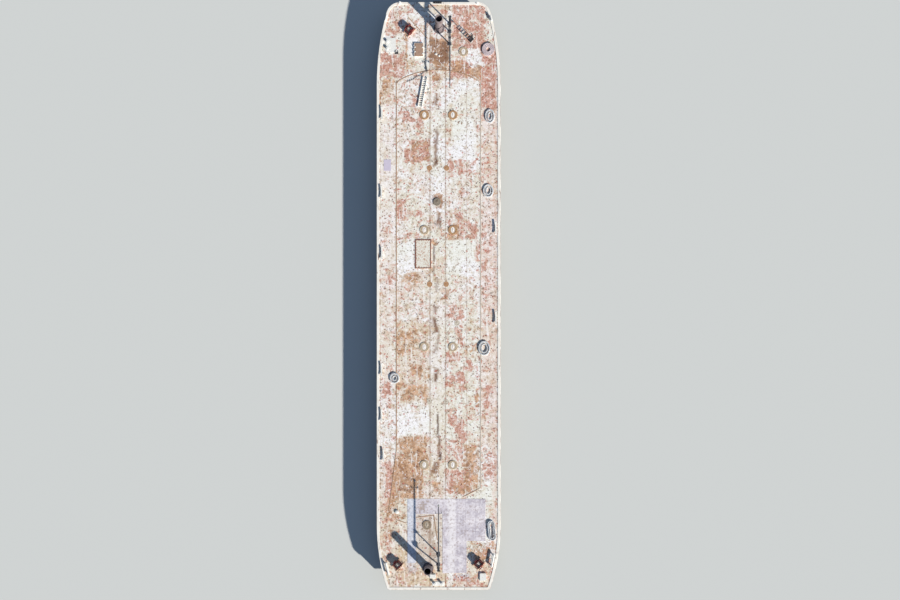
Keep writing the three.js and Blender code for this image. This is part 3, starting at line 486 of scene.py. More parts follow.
def wear_map(points, regions):
    """How worn each point of the deck is, from 0 to 1, as the most that any of the regions gives."""
    x, y = points.T
    worn = np.zeros(len(points))
    for cx, cy, half_x, half_y, strength in regions:
        inside_x = (half_x + SOFT_EDGE / 2 - np.abs(x - cx)) / SOFT_EDGE
        inside_y = (half_y + SOFT_EDGE / 2 - np.abs(y - cy)) / SOFT_EDGE
        inside = np.clip(np.minimum(inside_x, inside_y), 0, 1)
        worn = np.maximum(worn, strength * inside)
    return worn


def deck_plate():
    """The deck plate as a fine grid within its real outline, closed below."""
    plate = frame["nodes"]["deck_plating"]
    low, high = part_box("deck_plating")
    outline = {}
    for vertex in plate.data.vertices:
        row = round(vertex.co.y, 4)
        outline[row] = max(outline.get(row, 0), abs(vertex.co.x))
    known = sorted(outline)
    rows = sorted(set(known) | {round(y, 4) for y in np.arange(low.y + PLATE_STEP, high.y, PLATE_STEP)})
    rows = [rows[0]] + [b for a, b in zip(rows, rows[1:]) if b - a > 0.004]
    half = np.interp(rows, known, [outline[y] for y in known])
    columns = int(2 * half.max() / PLATE_STEP)
    across = np.linspace(-1, 1, columns + 1)
    wide = columns + 1
    top = np.array([(w * u, y) for y, w in zip(rows, half) for u in across])
    verts = [(x, y, high.z) for x, y in top]
    faces = [
        (r * wide + c, r * wide + c + 1, (r + 1) * wide + c + 1, (r + 1) * wide + c)
        for r in range(len(rows) - 1) for c in range(columns)
    ]
    last = (len(rows) - 1) * wide
    rim = list(range(wide)) + [r * wide + columns for r in range(1, len(rows))]
    rim += [last + c for c in range(columns - 1, -1, -1)] + [r * wide for r in range(len(rows) - 2, 0, -1)]
    under = len(verts)
    verts += [(verts[i][0], verts[i][1], low.z) for i in rim]
    count = len(rim)
    faces += [(rim[i], under + i, under + (i + 1) % count, rim[(i + 1) % count]) for i in range(count)]
    faces.append(tuple(under + i for i in reversed(range(count))))
    mesh = bpy.data.meshes.new("deck_plate")
    mesh.from_pydata(verts, [], faces)
    shifts = bends(top)
    for kind, regions in WEAR.items():
        worn = np.zeros(len(verts), np.float32)
        worn[:len(top)] = wear_map(top + (RAGGED_SCORE if kind == "score" else RAGGED) * shifts, regions)
        mesh.attributes.new("wear_" + kind, "FLOAT", "POINT").data.foreach_set("value", worn)
    mesh.update()
    return mesh


SEAMS = (
    # across the deck, how far the brown of the weld spreads, how strong it shows
    (-2.13, 0.03, 0.5), (-0.43, 0.05, 1.0), (0.345, 0.05, 1.0), (1.40, 0.035, 0.6), (2.13, 0.03, 0.4),
    (2.885, 0.045, 0.6), (-2.93, 0.04, 0.6),
)
MOTTLING = (
    # name, size in mm, detail, roughness, distortion, shift
    ("broad", 1800, 3.0, 0.5, 0.0, 0.0),
    ("blotches", 300, 6.0, 0.72, 0.8, 11.0),
    ("flakes", 115, 2.0, 0.75, 1.0, 23.0),
    ("grime", 120, 2.0, 0.65, 0.5, 51.0),
    ("stains", 420, 6.0, 0.74, 0.6, 37.0),
)
PITS = (
    # spacing, radius, shift, strength, colour: drawn coarser than real ones, so that they show
    (0.15, 0.038, 3.0, 0.95, "503a32"),
    (0.20, 0.050, 9.0, 0.85, "85503f"),
    (0.26, 0.062, 17.0, 0.8, "bc6f62"),
)
RUST_STARTS, RUST_FULL = 0.74, 0.85


def off_line(tree, coordinate, middle):
    """How far a place is to either side of a line."""
    off = node(tree, "Math", {0: coordinate, 1: middle}, operation="SUBTRACT")
    return node(tree, "Math", {0: off}, operation="ABSOLUTE")


def worn_deck_paint():
    """Alkyd deck paint over red lead primer on steel: chalky off-white and quite without gloss where
    it is sound, dull pink where it has flaked to the primer, brown where the steel rusts through, and
    specked all over."""
    material, tree, place = new_finish("worn_alkyd_deck_paint")
    wear = {kind: node(tree, "Attribute", attribute_name="wear_" + kind).outputs["Fac"] for kind in WEAR}
    mottled = {}
    for kind, size, detail, roughness, distortion, shift in MOTTLING:
        moved = node(tree, "Mapping", {"Vector": place, "Location": (shift, -shift / 3, 0.0)})
        mottled[kind] = node(tree, "TexNoise", {"Vector": moved, "Scale": 1000 / size, "Detail": detail,
                                                "Roughness": roughness, "Distortion": distortion})
    stood = {}
    for kind, pattern, weights in (
        ("primer", "blotches", ((wear["primer"], 0.17), (wear["sound"], -0.14), (mottled["flakes"], 0.3))),
        ("rust", "stains", ((wear["rust"], 0.25), (wear["sound"], -0.1), (mottled["flakes"], 0.3))),
        ("stains", "stains", ((wear["sound"], -0.1),)),
    ):
        stood[kind] = mottled[pattern]
        for share, weight in weights:
            stood[kind] = node(tree, "Math", {0: share, 1: weight, 2: stood[kind]}, operation="MULTIPLY_ADD")
    primer = laid_over(tree, "ae6c5a", mottled["flakes"], 0.4, 0.62, 1.0, "ddb2a0")
    rust = laid_over(tree, "996b4a", mottled["blotches"], 0.4, 0.62, 1.0, "e2ba97")
    bare_steel = laid_over(tree, "7b5a49", mottled["stains"], 0.4, 0.62, 1.0, "9b7860")
    scraped = node(tree, "Mapping", {"Vector": place, "Rotation": (0.0, 0.0, 0.5), "Scale": (1.0, 0.12, 1.0)})
    scrapes = node(tree, "TexNoise", {"Vector": scraped, "Scale": 1 / 0.12, "Detail": 3.0})
    paint = "d3cec1"
    for share, low, high, most, hue in (
        (mottled["flakes"], 0.34, 0.52, 1.0, "fbfbff"),
        (mottled["broad"], 0.42, 0.6, 0.5, "e6e8d6"),
        (stood["stains"], 0.42, 0.62, 0.55, "cdb690"),
        (wear["blush"], 0.0, 1.0, 0.6, "e2c6b8"),
        (wear["tan"], 0.0, 1.0, 0.6, "ceb083"),
        (wear["lilac"], 0.0, 1.0, 0.8, "c4c0cc"),
        (stood["primer"], 0.69, 0.76, 0.9, primer),
        (stood["rust"], RUST_STARTS, RUST_FULL, 0.9, rust),
        (wear["bare"], 0.0, 1.0, 0.9, bare_steel),
        (wear["score"], 0.1, 0.6, 0.9, "5a3a2a"),
        (mottled["grime"], 0.57, 0.67, 0.7, "8c715f"),
        (mottled["grime"], 0.42, 0.32, 0.65, "fdfdff"),
        (scrapes, 0.6, 0.68, 0.6, "f6f4f2"),
    ):
        paint = laid_over(tree, paint, share, low, high, most, hue)
    across = node(tree, "SeparateXYZ", {"Vector": place}).outputs["X"]
    for seam, spread, strength in SEAMS:
        line = node(tree, "MapRange", {"Value": off_line(tree, across, seam), "From Min": spread,
                                       "From Max": spread / 5, "To Max": strength})
        line = node(tree, "Math", {0: line, 1: mottled["blotches"]}, operation="MULTIPLY")
        paint = node(tree, "Mix", {"Factor": line, "A": paint, "B": "8d6a50"}, data_type="RGBA")
    for spacing, radius, shift, strength, hue in PITS:
        moved = node(tree, "Mapping", {"Vector": place, "Location": (shift, shift, 0.0)})
        cells = node(tree, "TexVoronoi", {"Vector": moved, "Scale": 1 / spacing})
        pits = node(tree, "MapRange", {"Value": cells.outputs["Distance"], "From Min": radius / spacing,
                                       "From Max": 0.4 * radius / spacing, "To Max": strength})
        chance = node(tree, "SeparateColor", {"Color": cells.outputs["Color"]}).outputs["Red"]
        odds = node(tree, "Math", {0: wear["sound"], 1: -0.3, 2: chance}, operation="MULTIPLY_ADD")
        some = node(tree, "MapRange", {"Value": odds, "From Min": 0.2, "From Max": 0.42})
        pits = node(tree, "Math", {0: pits, 1: some}, operation="MULTIPLY")
        paint = node(tree, "Mix", {"Factor": pits, "A": paint, "B": hue}, data_type="RGBA")
    rough = node(tree, "MapRange", {"Value": stood["rust"], "From Min": RUST_STARTS, "From Max": RUST_FULL,
                                    "To Min": 0.85, "To Max": 0.94})
    return finished(material, {"Base Color": paint, "Roughness": rough, "Specular IOR Level": 0.15},
                    mottled["flakes"], 0.35, 0.004)


deck_paint = worn_deck_paint()
new_piece("deck_plate", deck_plate(), "barge", deck_paint, ("deck_plating",))


# Gunwale: a steel rub rail and a low flat kerb welded round the deck's edge. The kerb keeps its
# chalky white paint with brown scuffs; the rail's side is rubbed black and rusty by other hulls.
RAIL_SIDE = 1.49


def painted_steel(name, paint_hex, faded_hex, rust_hex, rusted, patch_mm, roughness=0.6):
    """Brushed-on alkyd paint over steel: faded unevenly, with rust through a share of it."""
    material, tree, place = new_finish(name)
    per_metre = 1000 / patch_mm
    fade = node(tree, "TexNoise", {"Vector": place, "Scale": per_metre * 0.4, "Detail": 4.0})
    chips = node(tree, "TexNoise", {"Vector": place, "Scale": per_metre, "Detail": 9.0, "Roughness": 0.65,
                                    "Distortion": 0.5})
    coat = node(tree, "Mix", {"Factor": fade, "A": faded_hex, "B": paint_hex}, data_type="RGBA")
    bare = node(tree, "MapRange", {"Value": chips, "From Min": 0.72 - rusted * 0.4,
                                   "From Max": 0.80 - rusted * 0.4})
    mixed = node(tree, "Mix", {"Factor": bare, "A": coat, "B": rust_hex}, data_type="RGBA")
    rough = node(tree, "MapRange", {"Value": bare, "To Min": roughness, "To Max": 0.9})
    return finished(material, {"Base Color": mixed, "Roughness": rough}, chips)


def chalky_kerb_paint():
    """White alkyd paint gone chalky: nearly even on top, and worn away along the rail's side."""
    material, tree, place = new_finish("chalky_white_kerb_paint")
    chalk = node(tree, "TexNoise", {"Vector": place, "Scale": 1 / 0.5, "Detail": 5.0})
    chips = node(tree, "TexNoise", {"Vector": place, "Scale": 1 / 0.11, "Detail": 6.0, "Roughness": 0.7})
    drawn_out = node(tree, "Mapping", {"Vector": place, "Scale": (1.0, 0.2, 2.0)})
    rubs = node(tree, "TexNoise", {"Vector": drawn_out, "Scale": 1 / 0.12, "Detail": 6.0, "Roughness": 0.7})
    height = node(tree, "SeparateXYZ", {"Vector": place}).outputs["Z"]
    on_side = node(tree, "MapRange", {"Value": height, "From Min": RAIL_SIDE + 0.012, "From Max": RAIL_SIDE})
    scuffed = node(tree, "Math", {0: on_side, 1: 0.14, 2: rubs}, operation="MULTIPLY_ADD")
    paint = "f4f1ea"
    for share, low, high, most, hue in (
        (chalk, 0.45, 0.65, 0.6, "e6dfd2"),
        (chips, 0.63, 0.69, 0.65, "b08a72"),
        (scuffed, 0.58, 0.66, 0.9, "8d6a55"),
        (scuffed, 0.68, 0.74, 0.9, "3a3a3c"),
    ):
        paint = laid_over(tree, paint, share, low, high, most, hue)
    return finished(material, {"Base Color": paint, "Roughness": 0.85, "Specular IOR Level": 0.2}, chips)


repaint("gunwale", chalky_kerb_paint(), bevel=0.004)


# End tubes: open-topped steel pipes on round doublers, with a rolled rim round the mouth and
# gusset plates welded in at the foot. Grey-brown paint, worn and spotted with rust.
at = Matrix.Translation


def about(axis, angle):
    """A turn about an axis, in radians."""
    return Matrix.Rotation(angle, 4, axis)


def shared_round(count, offset=0.0):
    """Turns about Z that share out a full circle evenly."""
    return [about("Z", 2 * math.pi * (i + offset) / count) for i in range(count)]


def block(form, low, high, where=Matrix()):
    """Adds a box between two corners to a form, which is a pair of lists: points and faces."""
    cut_plate(form, [(low[0], low[1]), (high[0], low[1]), (high[0], high[1]), (low[0], high[1])],
              low[2], high[2], where)


def cut_plate(form, outline, low, high, where=Matrix()):
    """Adds a flat outline, counterclockwise, raised from low to high."""
    points, faces = form
    start, count = len(points), len(outline)
    for level in (low, high):
        points.extend(where @ Vector((x, y, level)) for x, y in outline)
    faces.append([start + i for i in reversed(range(count))])
    faces.append([start + count + i for i in range(count)])
    for i in range(count):
        after = (i + 1) % count
        faces.append([start + i, start + after, start + count + after, start + count + i])


def turned(form, profile, sides, where=Matrix()):
    """Adds a piece turned round Z, from (radius, height) pairs that run up the outside and either
    start and end on the axis or close on themselves."""
    points, faces = form
    rings = []
    for radius, height in profile:
        rings.append((len(points), 1 if radius == 0 else sides))
        for i in range(rings[-1][1]):
            angle = 2 * math.pi * i / sides
            points.append(where @ Vector((radius * math.cos(angle), radius * math.sin(angle), height)))
    closed = profile[0][0] > 0
    for k in range(len(rings) if closed else len(rings) - 1):
        (lower, many), (upper, above) = rings[k], rings[(k + 1) % len(rings)]
        for i in range(sides):
            after = (i + 1) % sides
            face = [lower + i % many, lower + after % many, upper + after % above, upper + i % above]
            faces.append(list(dict.fromkeys(face)))


def form_piece(name, form, body, material, replaces=(), bevel=None, smooth_below=None):
    """Makes a form into a piece, with its edges softened if a bevel is given."""
    mesh = bpy.data.meshes.new(name)
    mesh.from_pydata(form[0], [], form[1])
    mesh.update()
    piece = new_piece(name, mesh, body, material, replaces, smooth_below)
    if bevel:
        soften(piece, bevel)
    return piece


GUSSETS = 6
GUSSET_HALF_THICKNESS = 0.005
GUSSET_PLATE = [(0.18, 0.02), (0.262, 0.02), (0.262, 0.035), (0.2, 0.17), (0.18, 0.17)]
RIM = [(0.184, 1.082), (0.191, 1.086), (0.195, 1.096), (0.191, 1.106), (0.184, 1.11)]
tube_paint = painted_steel("weathered_tube_paint", "8b8284", "6f676c", "5a3f36", 0.45, 120)
for tube in ("end_tube_bow", "end_tube_stern"):
    repaint(tube, tube_paint, bevel=0.002)
    low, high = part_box(tube)
    foot = at(((low.x + high.x) / 2, (low.y + high.y) / 2, low.z))
    fittings = ([], [])
    for outward in shared_round(GUSSETS, 0.5):
        cut_plate(fittings, GUSSET_PLATE, -GUSSET_HALF_THICKNESS, GUSSET_HALF_THICKNESS,
                  foot @ outward @ about("X", math.pi / 2))
    turned(fittings, RIM, 40, foot)
    form_piece(tube + "_rim_and_gussets", fittings, "barge", tube_paint, smooth_below=30)


# Cargo bar: flat bar welded to the deck round the cargo area, rusted brown forward and along the
# port side and still under deck paint to starboard, and two loose lengths of the same bar
BAR_HALF_WIDTH = 0.02
BAR_HIGH = 0.008
LOOSE_BARS = {
    "after_deck": [(-1.13, -11.07), (-0.24, -10.97), (-0.06, -12.20)],
    "fore_deck": [(-1.53, 13.95), (-0.58, 12.90)],
}


def tinted_where(material, name, axis, middle, blend, hues):
    """A copy of a painted finish that changes to another, mottled pair of colours beyond a plane."""
    finish = material.copy()
    finish.name = name
    tree = finish.node_tree
    place = node(tree, "TexCoord").outputs["Object"]
    split = node(tree, "SeparateXYZ", {"Vector": place})
    stains = node(tree, "TexNoise", {"Vector": place, "Scale": 1 / 0.09, "Detail": 5.0})
    other = node(tree, "Mix", {"Factor": stains, "A": hues[0], "B": hues[1]}, data_type="RGBA")
    coat = tree.nodes["Principled BSDF"].inputs["Base Color"].links[0].from_socket
    mixed = laid_over(tree, coat, split.outputs[axis], middle - blend, middle + blend, 1.0, other)
    return finished(finish, {"Base Color": mixed})


bar_rust = painted_steel("rusted_flat_bar", "c4a68c", "ad8c72", "8a6850", 0.5, 90, 0.85)
repaint("cargo_bar", tinted_where(bar_rust, "half_painted_flat_bar", "X", 1.95, 0.1, ("b8a590", "e6ddd2")))
for place_name, path in LOOSE_BARS.items():
    bars = ([], [])
    for (x0, y0), (x1, y1) in zip(path, path[1:]):
        angle = math.atan2(y1 - y0, x1 - x0)
        length = math.hypot(x1 - x0, y1 - y0)
        block(bars, (0, -BAR_HALF_WIDTH, 0), (length, BAR_HALF_WIDTH, BAR_HIGH),
              at((x0, y0, deck_top)) @ about("Z", angle))
    form_piece("flat_bar_" + place_name, bars, "barge", bar_rust, bevel=0.001)

# Masts and cradles: grey-painted tube and channel, worn to the metal where they bear. Each mast
# carries a lantern with a glass band, and a small block on each arm of its crosstree.
JOINTS = {joint["name"]: joint for joint in frame["joints"]}
MAST_LENGTHS = {"bow": 3.48, "stern": 3.23}
CROSSTREE_FROM_TIP = 0.42
CROSSTREE_HALF = 0.15
SHACKLE = [(0.0125, -0.006), (0.017, -0.006), (0.017, 0.006), (0.0125, 0.006)]
BLOCK_CHEEK = [(0, -0.012), (0.026, -0.012), (0.03, -0.008), (0.03, 0.008), (0.026, 0.012), (0, 0.012)]
GLASS_BAND = [(0.04, -0.035), (0.0425, -0.03), (0.0425, 0.03), (0.04, 0.035), (0.032, 0.035),
              (0.032, -0.035)]
CRADLE_BASE_TOP = deck_top + 0.016
mast_grey = painted_steel("worn_grey_mast_paint", "55585f", "40434a", "3c3029", 0.4, 80, 0.5)
cradle_grey = tinted_where(mast_grey, "grey_cradle_with_deck_painted_base", "Z", CRADLE_BASE_TOP, -0.003,
                           ("d6cfc2", "f2f0ec"))
for part in ("mast_bow", "mast_stern"):
    repaint(part, mast_grey, bevel=0.0015)
for part in ("mast_cradle_bow", "mast_cradle_stern"):
    repaint(part, cradle_grey, bevel=0.0015)

material, tree, place = new_finish("pressed_lantern_glass")
ribs = node(tree, "TexWave", {"Vector": place, "Scale": 1 / 0.02, "Distortion": 0.5})
grime = node(tree, "TexNoise", {"Vector": place, "Scale": 1 / 0.04, "Detail": 3.0})
shade = node(tree, "Mix", {"Factor": grime, "A": "b9bdb4", "B": "eef2ea"}, data_type="RGBA")
lantern_glass = finished(material, {"Base Color": shade, "Roughness": 0.12, "IOR": 1.52,
                                    "Transmission Weight": 0.4}, ribs.outputs["Fac"], 0.4)

for end, length in MAST_LENGTHS.items():
    pivot = Vector(JOINTS["mast_" + end + "_raise"]["pos_m"])
    low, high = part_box("mast_" + end)
    forward = 1 if (low.y + high.y) / 2 > pivot.y else -1
    along = at(pivot) @ about("X", -forward * math.pi / 2)
    band = ([], [])
    turned(band, GLASS_BAND, 24, along @ at((0, 0, length - 0.05)))
    form_piece("lantern_glass_" + end, band, "mast_" + end, lantern_glass, smooth_below=40)
    rigging = ([], [])
    for side in (-1, 1):
        eye = along @ at((side * CROSSTREE_HALF, 0, length - CROSSTREE_FROM_TIP))
        turned(rigging, SHACKLE, 12, eye @ about("Y", math.pi / 2))
        turned(rigging, BLOCK_CHEEK, 16, eye @ at((0, 0, 0.045)) @ about("Y", math.pi / 2))
    form_piece("mast_blocks_" + end, rigging, "mast_" + end, mast_grey, smooth_below=35)


# Deck winches: fabricated frames in red oxide with a gear case, a band brake and a hand wheel.
# Each drum has a spur ring on one flange and carries galvanised wire, wound tight in even turns.
AXLE_HEIGHT = 0.15
PLATE_FACE = 0.156
CASE_FACE = 0.236
WIRE = 0.0105
WOUND_HALF = 0.1055
WOUND_RADIUS = 0.0995
BARREL_RADIUS = 0.085
SPUR_TEETH = 40
SPUR_TOOTH = ((0.0, 0.112), (0.3, 0.122), (0.55, 0.122), (0.85, 0.112))
FLANGE_BOLTS = 8
WHEEL_SPOKES = 5
BRAKE_BAND_RADII = (0.135, 0.129)
BRAKE_BAND_FROM, BRAKE_BAND_TO = 0.6, 2 * math.pi - 1.2
BOLT_HEAD = [(0, 0), (0.011, 0), (0.011, 0.006), (0.009, 0.008), (0, 0.008)]
SPUR_RING_FROM, SPUR_RING_TO = 0.1065, 0.1175
FLANGE_BOLT_AT = (0.075, 0, 0.117)
WIRE_CLAMP = ((-0.03, 0.105, 0.06), (0.03, 0.128, 0.09))
CASE_COVER = ((-0.07, CASE_FACE, -0.072), (0.07, CASE_FACE + 0.006, 0.07))
SPOKE = ((0.015, -0.005, 0.055), (0.078, 0.005, 0.065))
WHEEL_AT = (-0.1, -PLATE_FACE, 0.055)
GRIP_AT = (0.1, -0.17, 0.27)
RAIL_BOLTS_X, RAIL_BOLTS_Y, RAIL_BOLTS_HIGH = (-0.262, -0.2, 0.2, 0.262), (-0.15, 0.15), 0.06
DRUM = [(0, -0.176), (0.017, -0.176), (0.017, -0.118), (0.05, -0.126), (0.05, -0.118), (0.122, -0.118),
        (0.122, -0.106), (0.09, -0.106), (0.09, 0.106), (0.1, 0.106), (0.1, 0.118), (0.05, 0.118),
        (0.05, 0.126), (0.017, 0.126), (0.017, 0.148), (0, 0.148)]
BEARING_CAP = [(0, 0), (0.045, 0), (0.045, 0.012), (0.03, 0.02), (0, 0.02)]
WHEEL_HUB = [(0, 0), (0.012, 0), (0.012, 0.05), (0.022, 0.05), (0.022, 0.07), (0, 0.07)]
WHEEL_RIM = [(0.078, 0.052), (0.088, 0.052), (0.092, 0.06), (0.088, 0.068), (0.078, 0.068), (0.074, 0.06)]
LEVER_GRIP = [(0, 0.0), (0.014, 0.0), (0.017, 0.01), (0.017, 0.06), (0.012, 0.07), (0, 0.07)]


def galvanised_wire():
    """Galvanised steel wire rope: dull grey zinc with black grease between the strands. The lay is
    drawn coarser than the real 2 mm strands, so that it shows."""
    material, tree, place = new_finish("greased_galvanised_wire_rope")
    lay = node(tree, "TexWave", {"Vector": place, "Scale": 1 / 0.02, "Distortion": 2.0}).outputs["Fac"]
    grease = node(tree, "TexNoise", {"Vector": place, "Scale": 1 / 0.05, "Detail": 5.0})
    zinc = node(tree, "Mix", {"Factor": lay, "A": "8e8a86", "B": "c9c5c0"}, data_type="RGBA")
    mixed = laid_over(tree, zinc, grease, 0.48, 0.62, 1.0, "3a3430")
    return finished(material, {"Base Color": mixed, "Metallic": 0.6, "Roughness": 0.5}, lay, 0.4)


def winch_drum(frame_at):
    """The drum's steelwork and its wound wire, as two forms."""
    axis = frame_at @ about("X", -math.pi / 2)
    steel = ([], [])
    turned(steel, DRUM, 32, axis)
    ring = []
    for tooth in range(SPUR_TEETH):
        for share, radius in SPUR_TOOTH:
            angle = 2 * math.pi * (tooth + share) / SPUR_TEETH
            ring.append((radius * math.cos(angle), radius * math.sin(angle)))
    cut_plate(steel, ring, SPUR_RING_FROM, SPUR_RING_TO, axis)
    for outward in shared_round(FLANGE_BOLTS):
        turned(steel, BOLT_HEAD, 6, axis @ outward @ at(FLANGE_BOLT_AT))
    block(steel, *WIRE_CLAMP, frame_at)
    wound = [(BARREL_RADIUS, -WOUND_HALF)]
    for i in range(int(2 * WOUND_HALF / WIRE)):
        centre = -WOUND_HALF + WIRE * (i + 0.5)
        wound += [(WOUND_RADIUS + WIRE / 2 * math.sin(a), centre - WIRE / 2 * math.cos(a))
                  for a in (0.3, math.pi / 3, 2 * math.pi / 3)]
    wound += [(WOUND_RADIUS, WOUND_HALF), (BARREL_RADIUS, WOUND_HALF)]
    wire = ([], [])
    turned(wire, wound, 40, axis)
    return steel, wire


def winch_fittings(frame_at):
    """Bolts, gear-case cover, hand wheel, bearing cap, brake band and lever grip."""
    made = ([], [])
    cap = frame_at @ at((0, 0, AXLE_HEIGHT))
    sideways, other_way = about("X", -math.pi / 2), about("X", math.pi / 2)
    block(made, *CASE_COVER, cap)
    for x in (-0.055, 0, 0.055):
        for z in (-0.056, 0.056):
            turned(made, BOLT_HEAD, 6, cap @ at((x, CASE_FACE + 0.005, z)) @ sideways)
    turned(made, BEARING_CAP, 20, cap @ at((0, -PLATE_FACE - 0.02, 0)) @ other_way)
    hub = cap @ at(WHEEL_AT) @ other_way
    turned(made, WHEEL_HUB, 16, hub)
    turned(made, WHEEL_RIM, 32, hub)
    for outward in shared_round(WHEEL_SPOKES):
        block(made, *SPOKE, hub @ outward)
    for y in RAIL_BOLTS_Y:
        for x in RAIL_BOLTS_X:
            turned(made, BOLT_HEAD, 6, frame_at @ at((x, y, RAIL_BOLTS_HIGH)))
    angles = np.linspace(BRAKE_BAND_FROM, BRAKE_BAND_TO, 28)
    band = [(radius * math.cos(a), radius * math.sin(a))
            for radius, run in zip(BRAKE_BAND_RADII, (angles, angles[::-1])) for a in run]
    cut_plate(made, band, -0.126, -0.1, cap @ sideways)
    turned(made, LEVER_GRIP, 14, frame_at @ at(GRIP_AT))
    return made


WINCH_RAIL_TOP = deck_top + 0.062
oxide = painted_steel("red_oxide_winch_paint", "8a3a36", "642825", "3a221c", 0.4, 60)
railed_oxide = tinted_where(oxide, "red_oxide_over_rusted_rails", "Z", WINCH_RAIL_TOP, -0.004,
                            ("a5826c", "d0b8a4"))
wire_rope = galvanised_wire()
for place_name in ("fore", "aft_port", "aft_starboard"):
    repaint("winch_frame_" + place_name, railed_oxide, bevel=0.003)
    axle = Vector(JOINTS["winch_" + place_name + "_spin"]["pos_m"])
    turn = about("Z", math.pi / 4)
    steel, wire = winch_drum(at(axle) @ turn)
    drum = "winch_drum_" + place_name
    form_piece(drum + "_steel", steel, drum, oxide, (drum,), smooth_below=30)
    form_piece(drum + "_wire", wire, drum, wire_rope, smooth_below=80)
    fittings = winch_fittings(at(axle - Vector((0, 0, AXLE_HEIGHT))) @ turn)
    form_piece("winch_fittings_" + place_name, fittings, "barge", oxide, smooth_below=30)


# Kevels, bitts and posts: castings and fabrications in white deck enamel, welded down. A fillet of
# weld runs round each kevel's foot, and a steel horn sits in each end of the bitts' bar.
FILLET = 0.008
white = painted_steel("white_deck_enamel", "f6f6f2", "dedfda", "9a7357", 0.3, 70, 0.45)
for name in frame["nodes"]:
    if name.startswith(("kevel", "bitts", "bar_bitt", "corner_post", "locker", "vent", "ladder")):
        repaint(name, white, bevel=0.003)
weld_rust = painted_steel("rust_stained_weld", "a98a76", "8c6d5a", "5f4336", 0.5, 40, 0.8)
KEVEL_FOOT = (0.038, 0.17)
for name in [cad_name for cad_name in frame["nodes"] if cad_name.startswith("kevel")]:
    low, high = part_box(name)
    middle = (low + high) / 2
    half_x, half_y = KEVEL_FOOT
    fillet = ([], [])
    outline = [(-half_x, -half_y), (half_x, -half_y), (half_x, half_y), (-half_x, half_y)]
    for (x0, y0), (x1, y1) in zip(outline, outline[1:] + outline[:1]):
        length = math.hypot(x1 - x0, y1 - y0)
        corner = at((middle.x + x0, middle.y + y0, deck_top))
        along = corner @ about("Z", math.atan2(y1 - y0, x1 - x0)) @ about("Y", math.pi / 2)
        turned(fillet, [(0, 0), (FILLET, 0), (FILLET, length), (0, length)], 10, along)
    form_piece(name + "_weld", fillet, "barge", weld_rust, smooth_below=50)

# Manholes: a broad round flange, rusted brown on the forward pair and stained paler on the others,
# bolted down round an oval cover in deck paint with a lifting bar
RING_OUTER = 0.235
RING_SIDES = 40
OVAL_HALF_WIDE, OVAL_HALF_LONG = 0.1, 0.15
RING_HIGH = 0.022
COVER_HIGH = 0.018
COVER_EDGE = OVAL_HALF_LONG - 0.002
COVER = [(0, 0), (COVER_EDGE, 0), (COVER_EDGE, COVER_HIGH - 0.003), (COVER_EDGE - 0.003, COVER_HIGH),
         (0.055, COVER_HIGH), (0.045, COVER_HIGH + 0.006), (0, COVER_HIGH + 0.006)]
COVER_BOLTS = 16
BOLTS_HALF_WIDE, BOLTS_HALF_LONG = 0.17, 0.195
BAR_HALF_LONG, BAR_HALF_WIDE, BAR_TOP = 0.07, 0.008, 0.031
RUSTED_RINGS = ("manhole_1", "manhole_2", "manhole_4")
DIRTY_MANHOLE = "manhole_10"
rusted_ring = painted_steel("rusted_ring_flange", "c4a07a", "a9845f", "7d573e", 0.45, 60, 0.8)
stained_ring = painted_steel("stained_ring_flange", "cdbfa6", "b3a088", "96795f", 0.5, 60, 0.75)
dirty_ring = painted_steel("dirt_stained_ring_flange", "a89883", "8d7c69", "6f5a49", 0.5, 60, 0.8)
cover_paint = painted_steel("worn_cover_paint", "f6f4f2", "e6e0d8", "b8978a", 0.36, 70, 0.7)
dirty_cover = painted_steel("dirt_stained_cover_paint", "c4b9a8", "a79a88", "7e6856", 0.45, 60, 0.75)


def oval_flange(form, where):
    """Adds a round flange with an oval hole through it."""
    points, faces = form
    start = len(points)
    for half_x, half_y, height in (
        (RING_OUTER, RING_OUTER, 0.0), (RING_OUTER - 0.005, RING_OUTER - 0.005, RING_HIGH),
        (OVAL_HALF_WIDE, OVAL_HALF_LONG, RING_HIGH), (OVAL_HALF_WIDE, OVAL_HALF_LONG, 0.0),
    ):
        for i in range(RING_SIDES):
            angle = 2 * math.pi * i / RING_SIDES
            points.append(where @ Vector((half_x * math.cos(angle), half_y * math.sin(angle), height)))
    for loop in range(4):
        lower, upper = start + loop * RING_SIDES, start + (loop + 1) % 4 * RING_SIDES
        for i in range(RING_SIDES):
            after = (i + 1) % RING_SIDES
            faces.append([lower + i, lower + after, upper + after, upper + i])


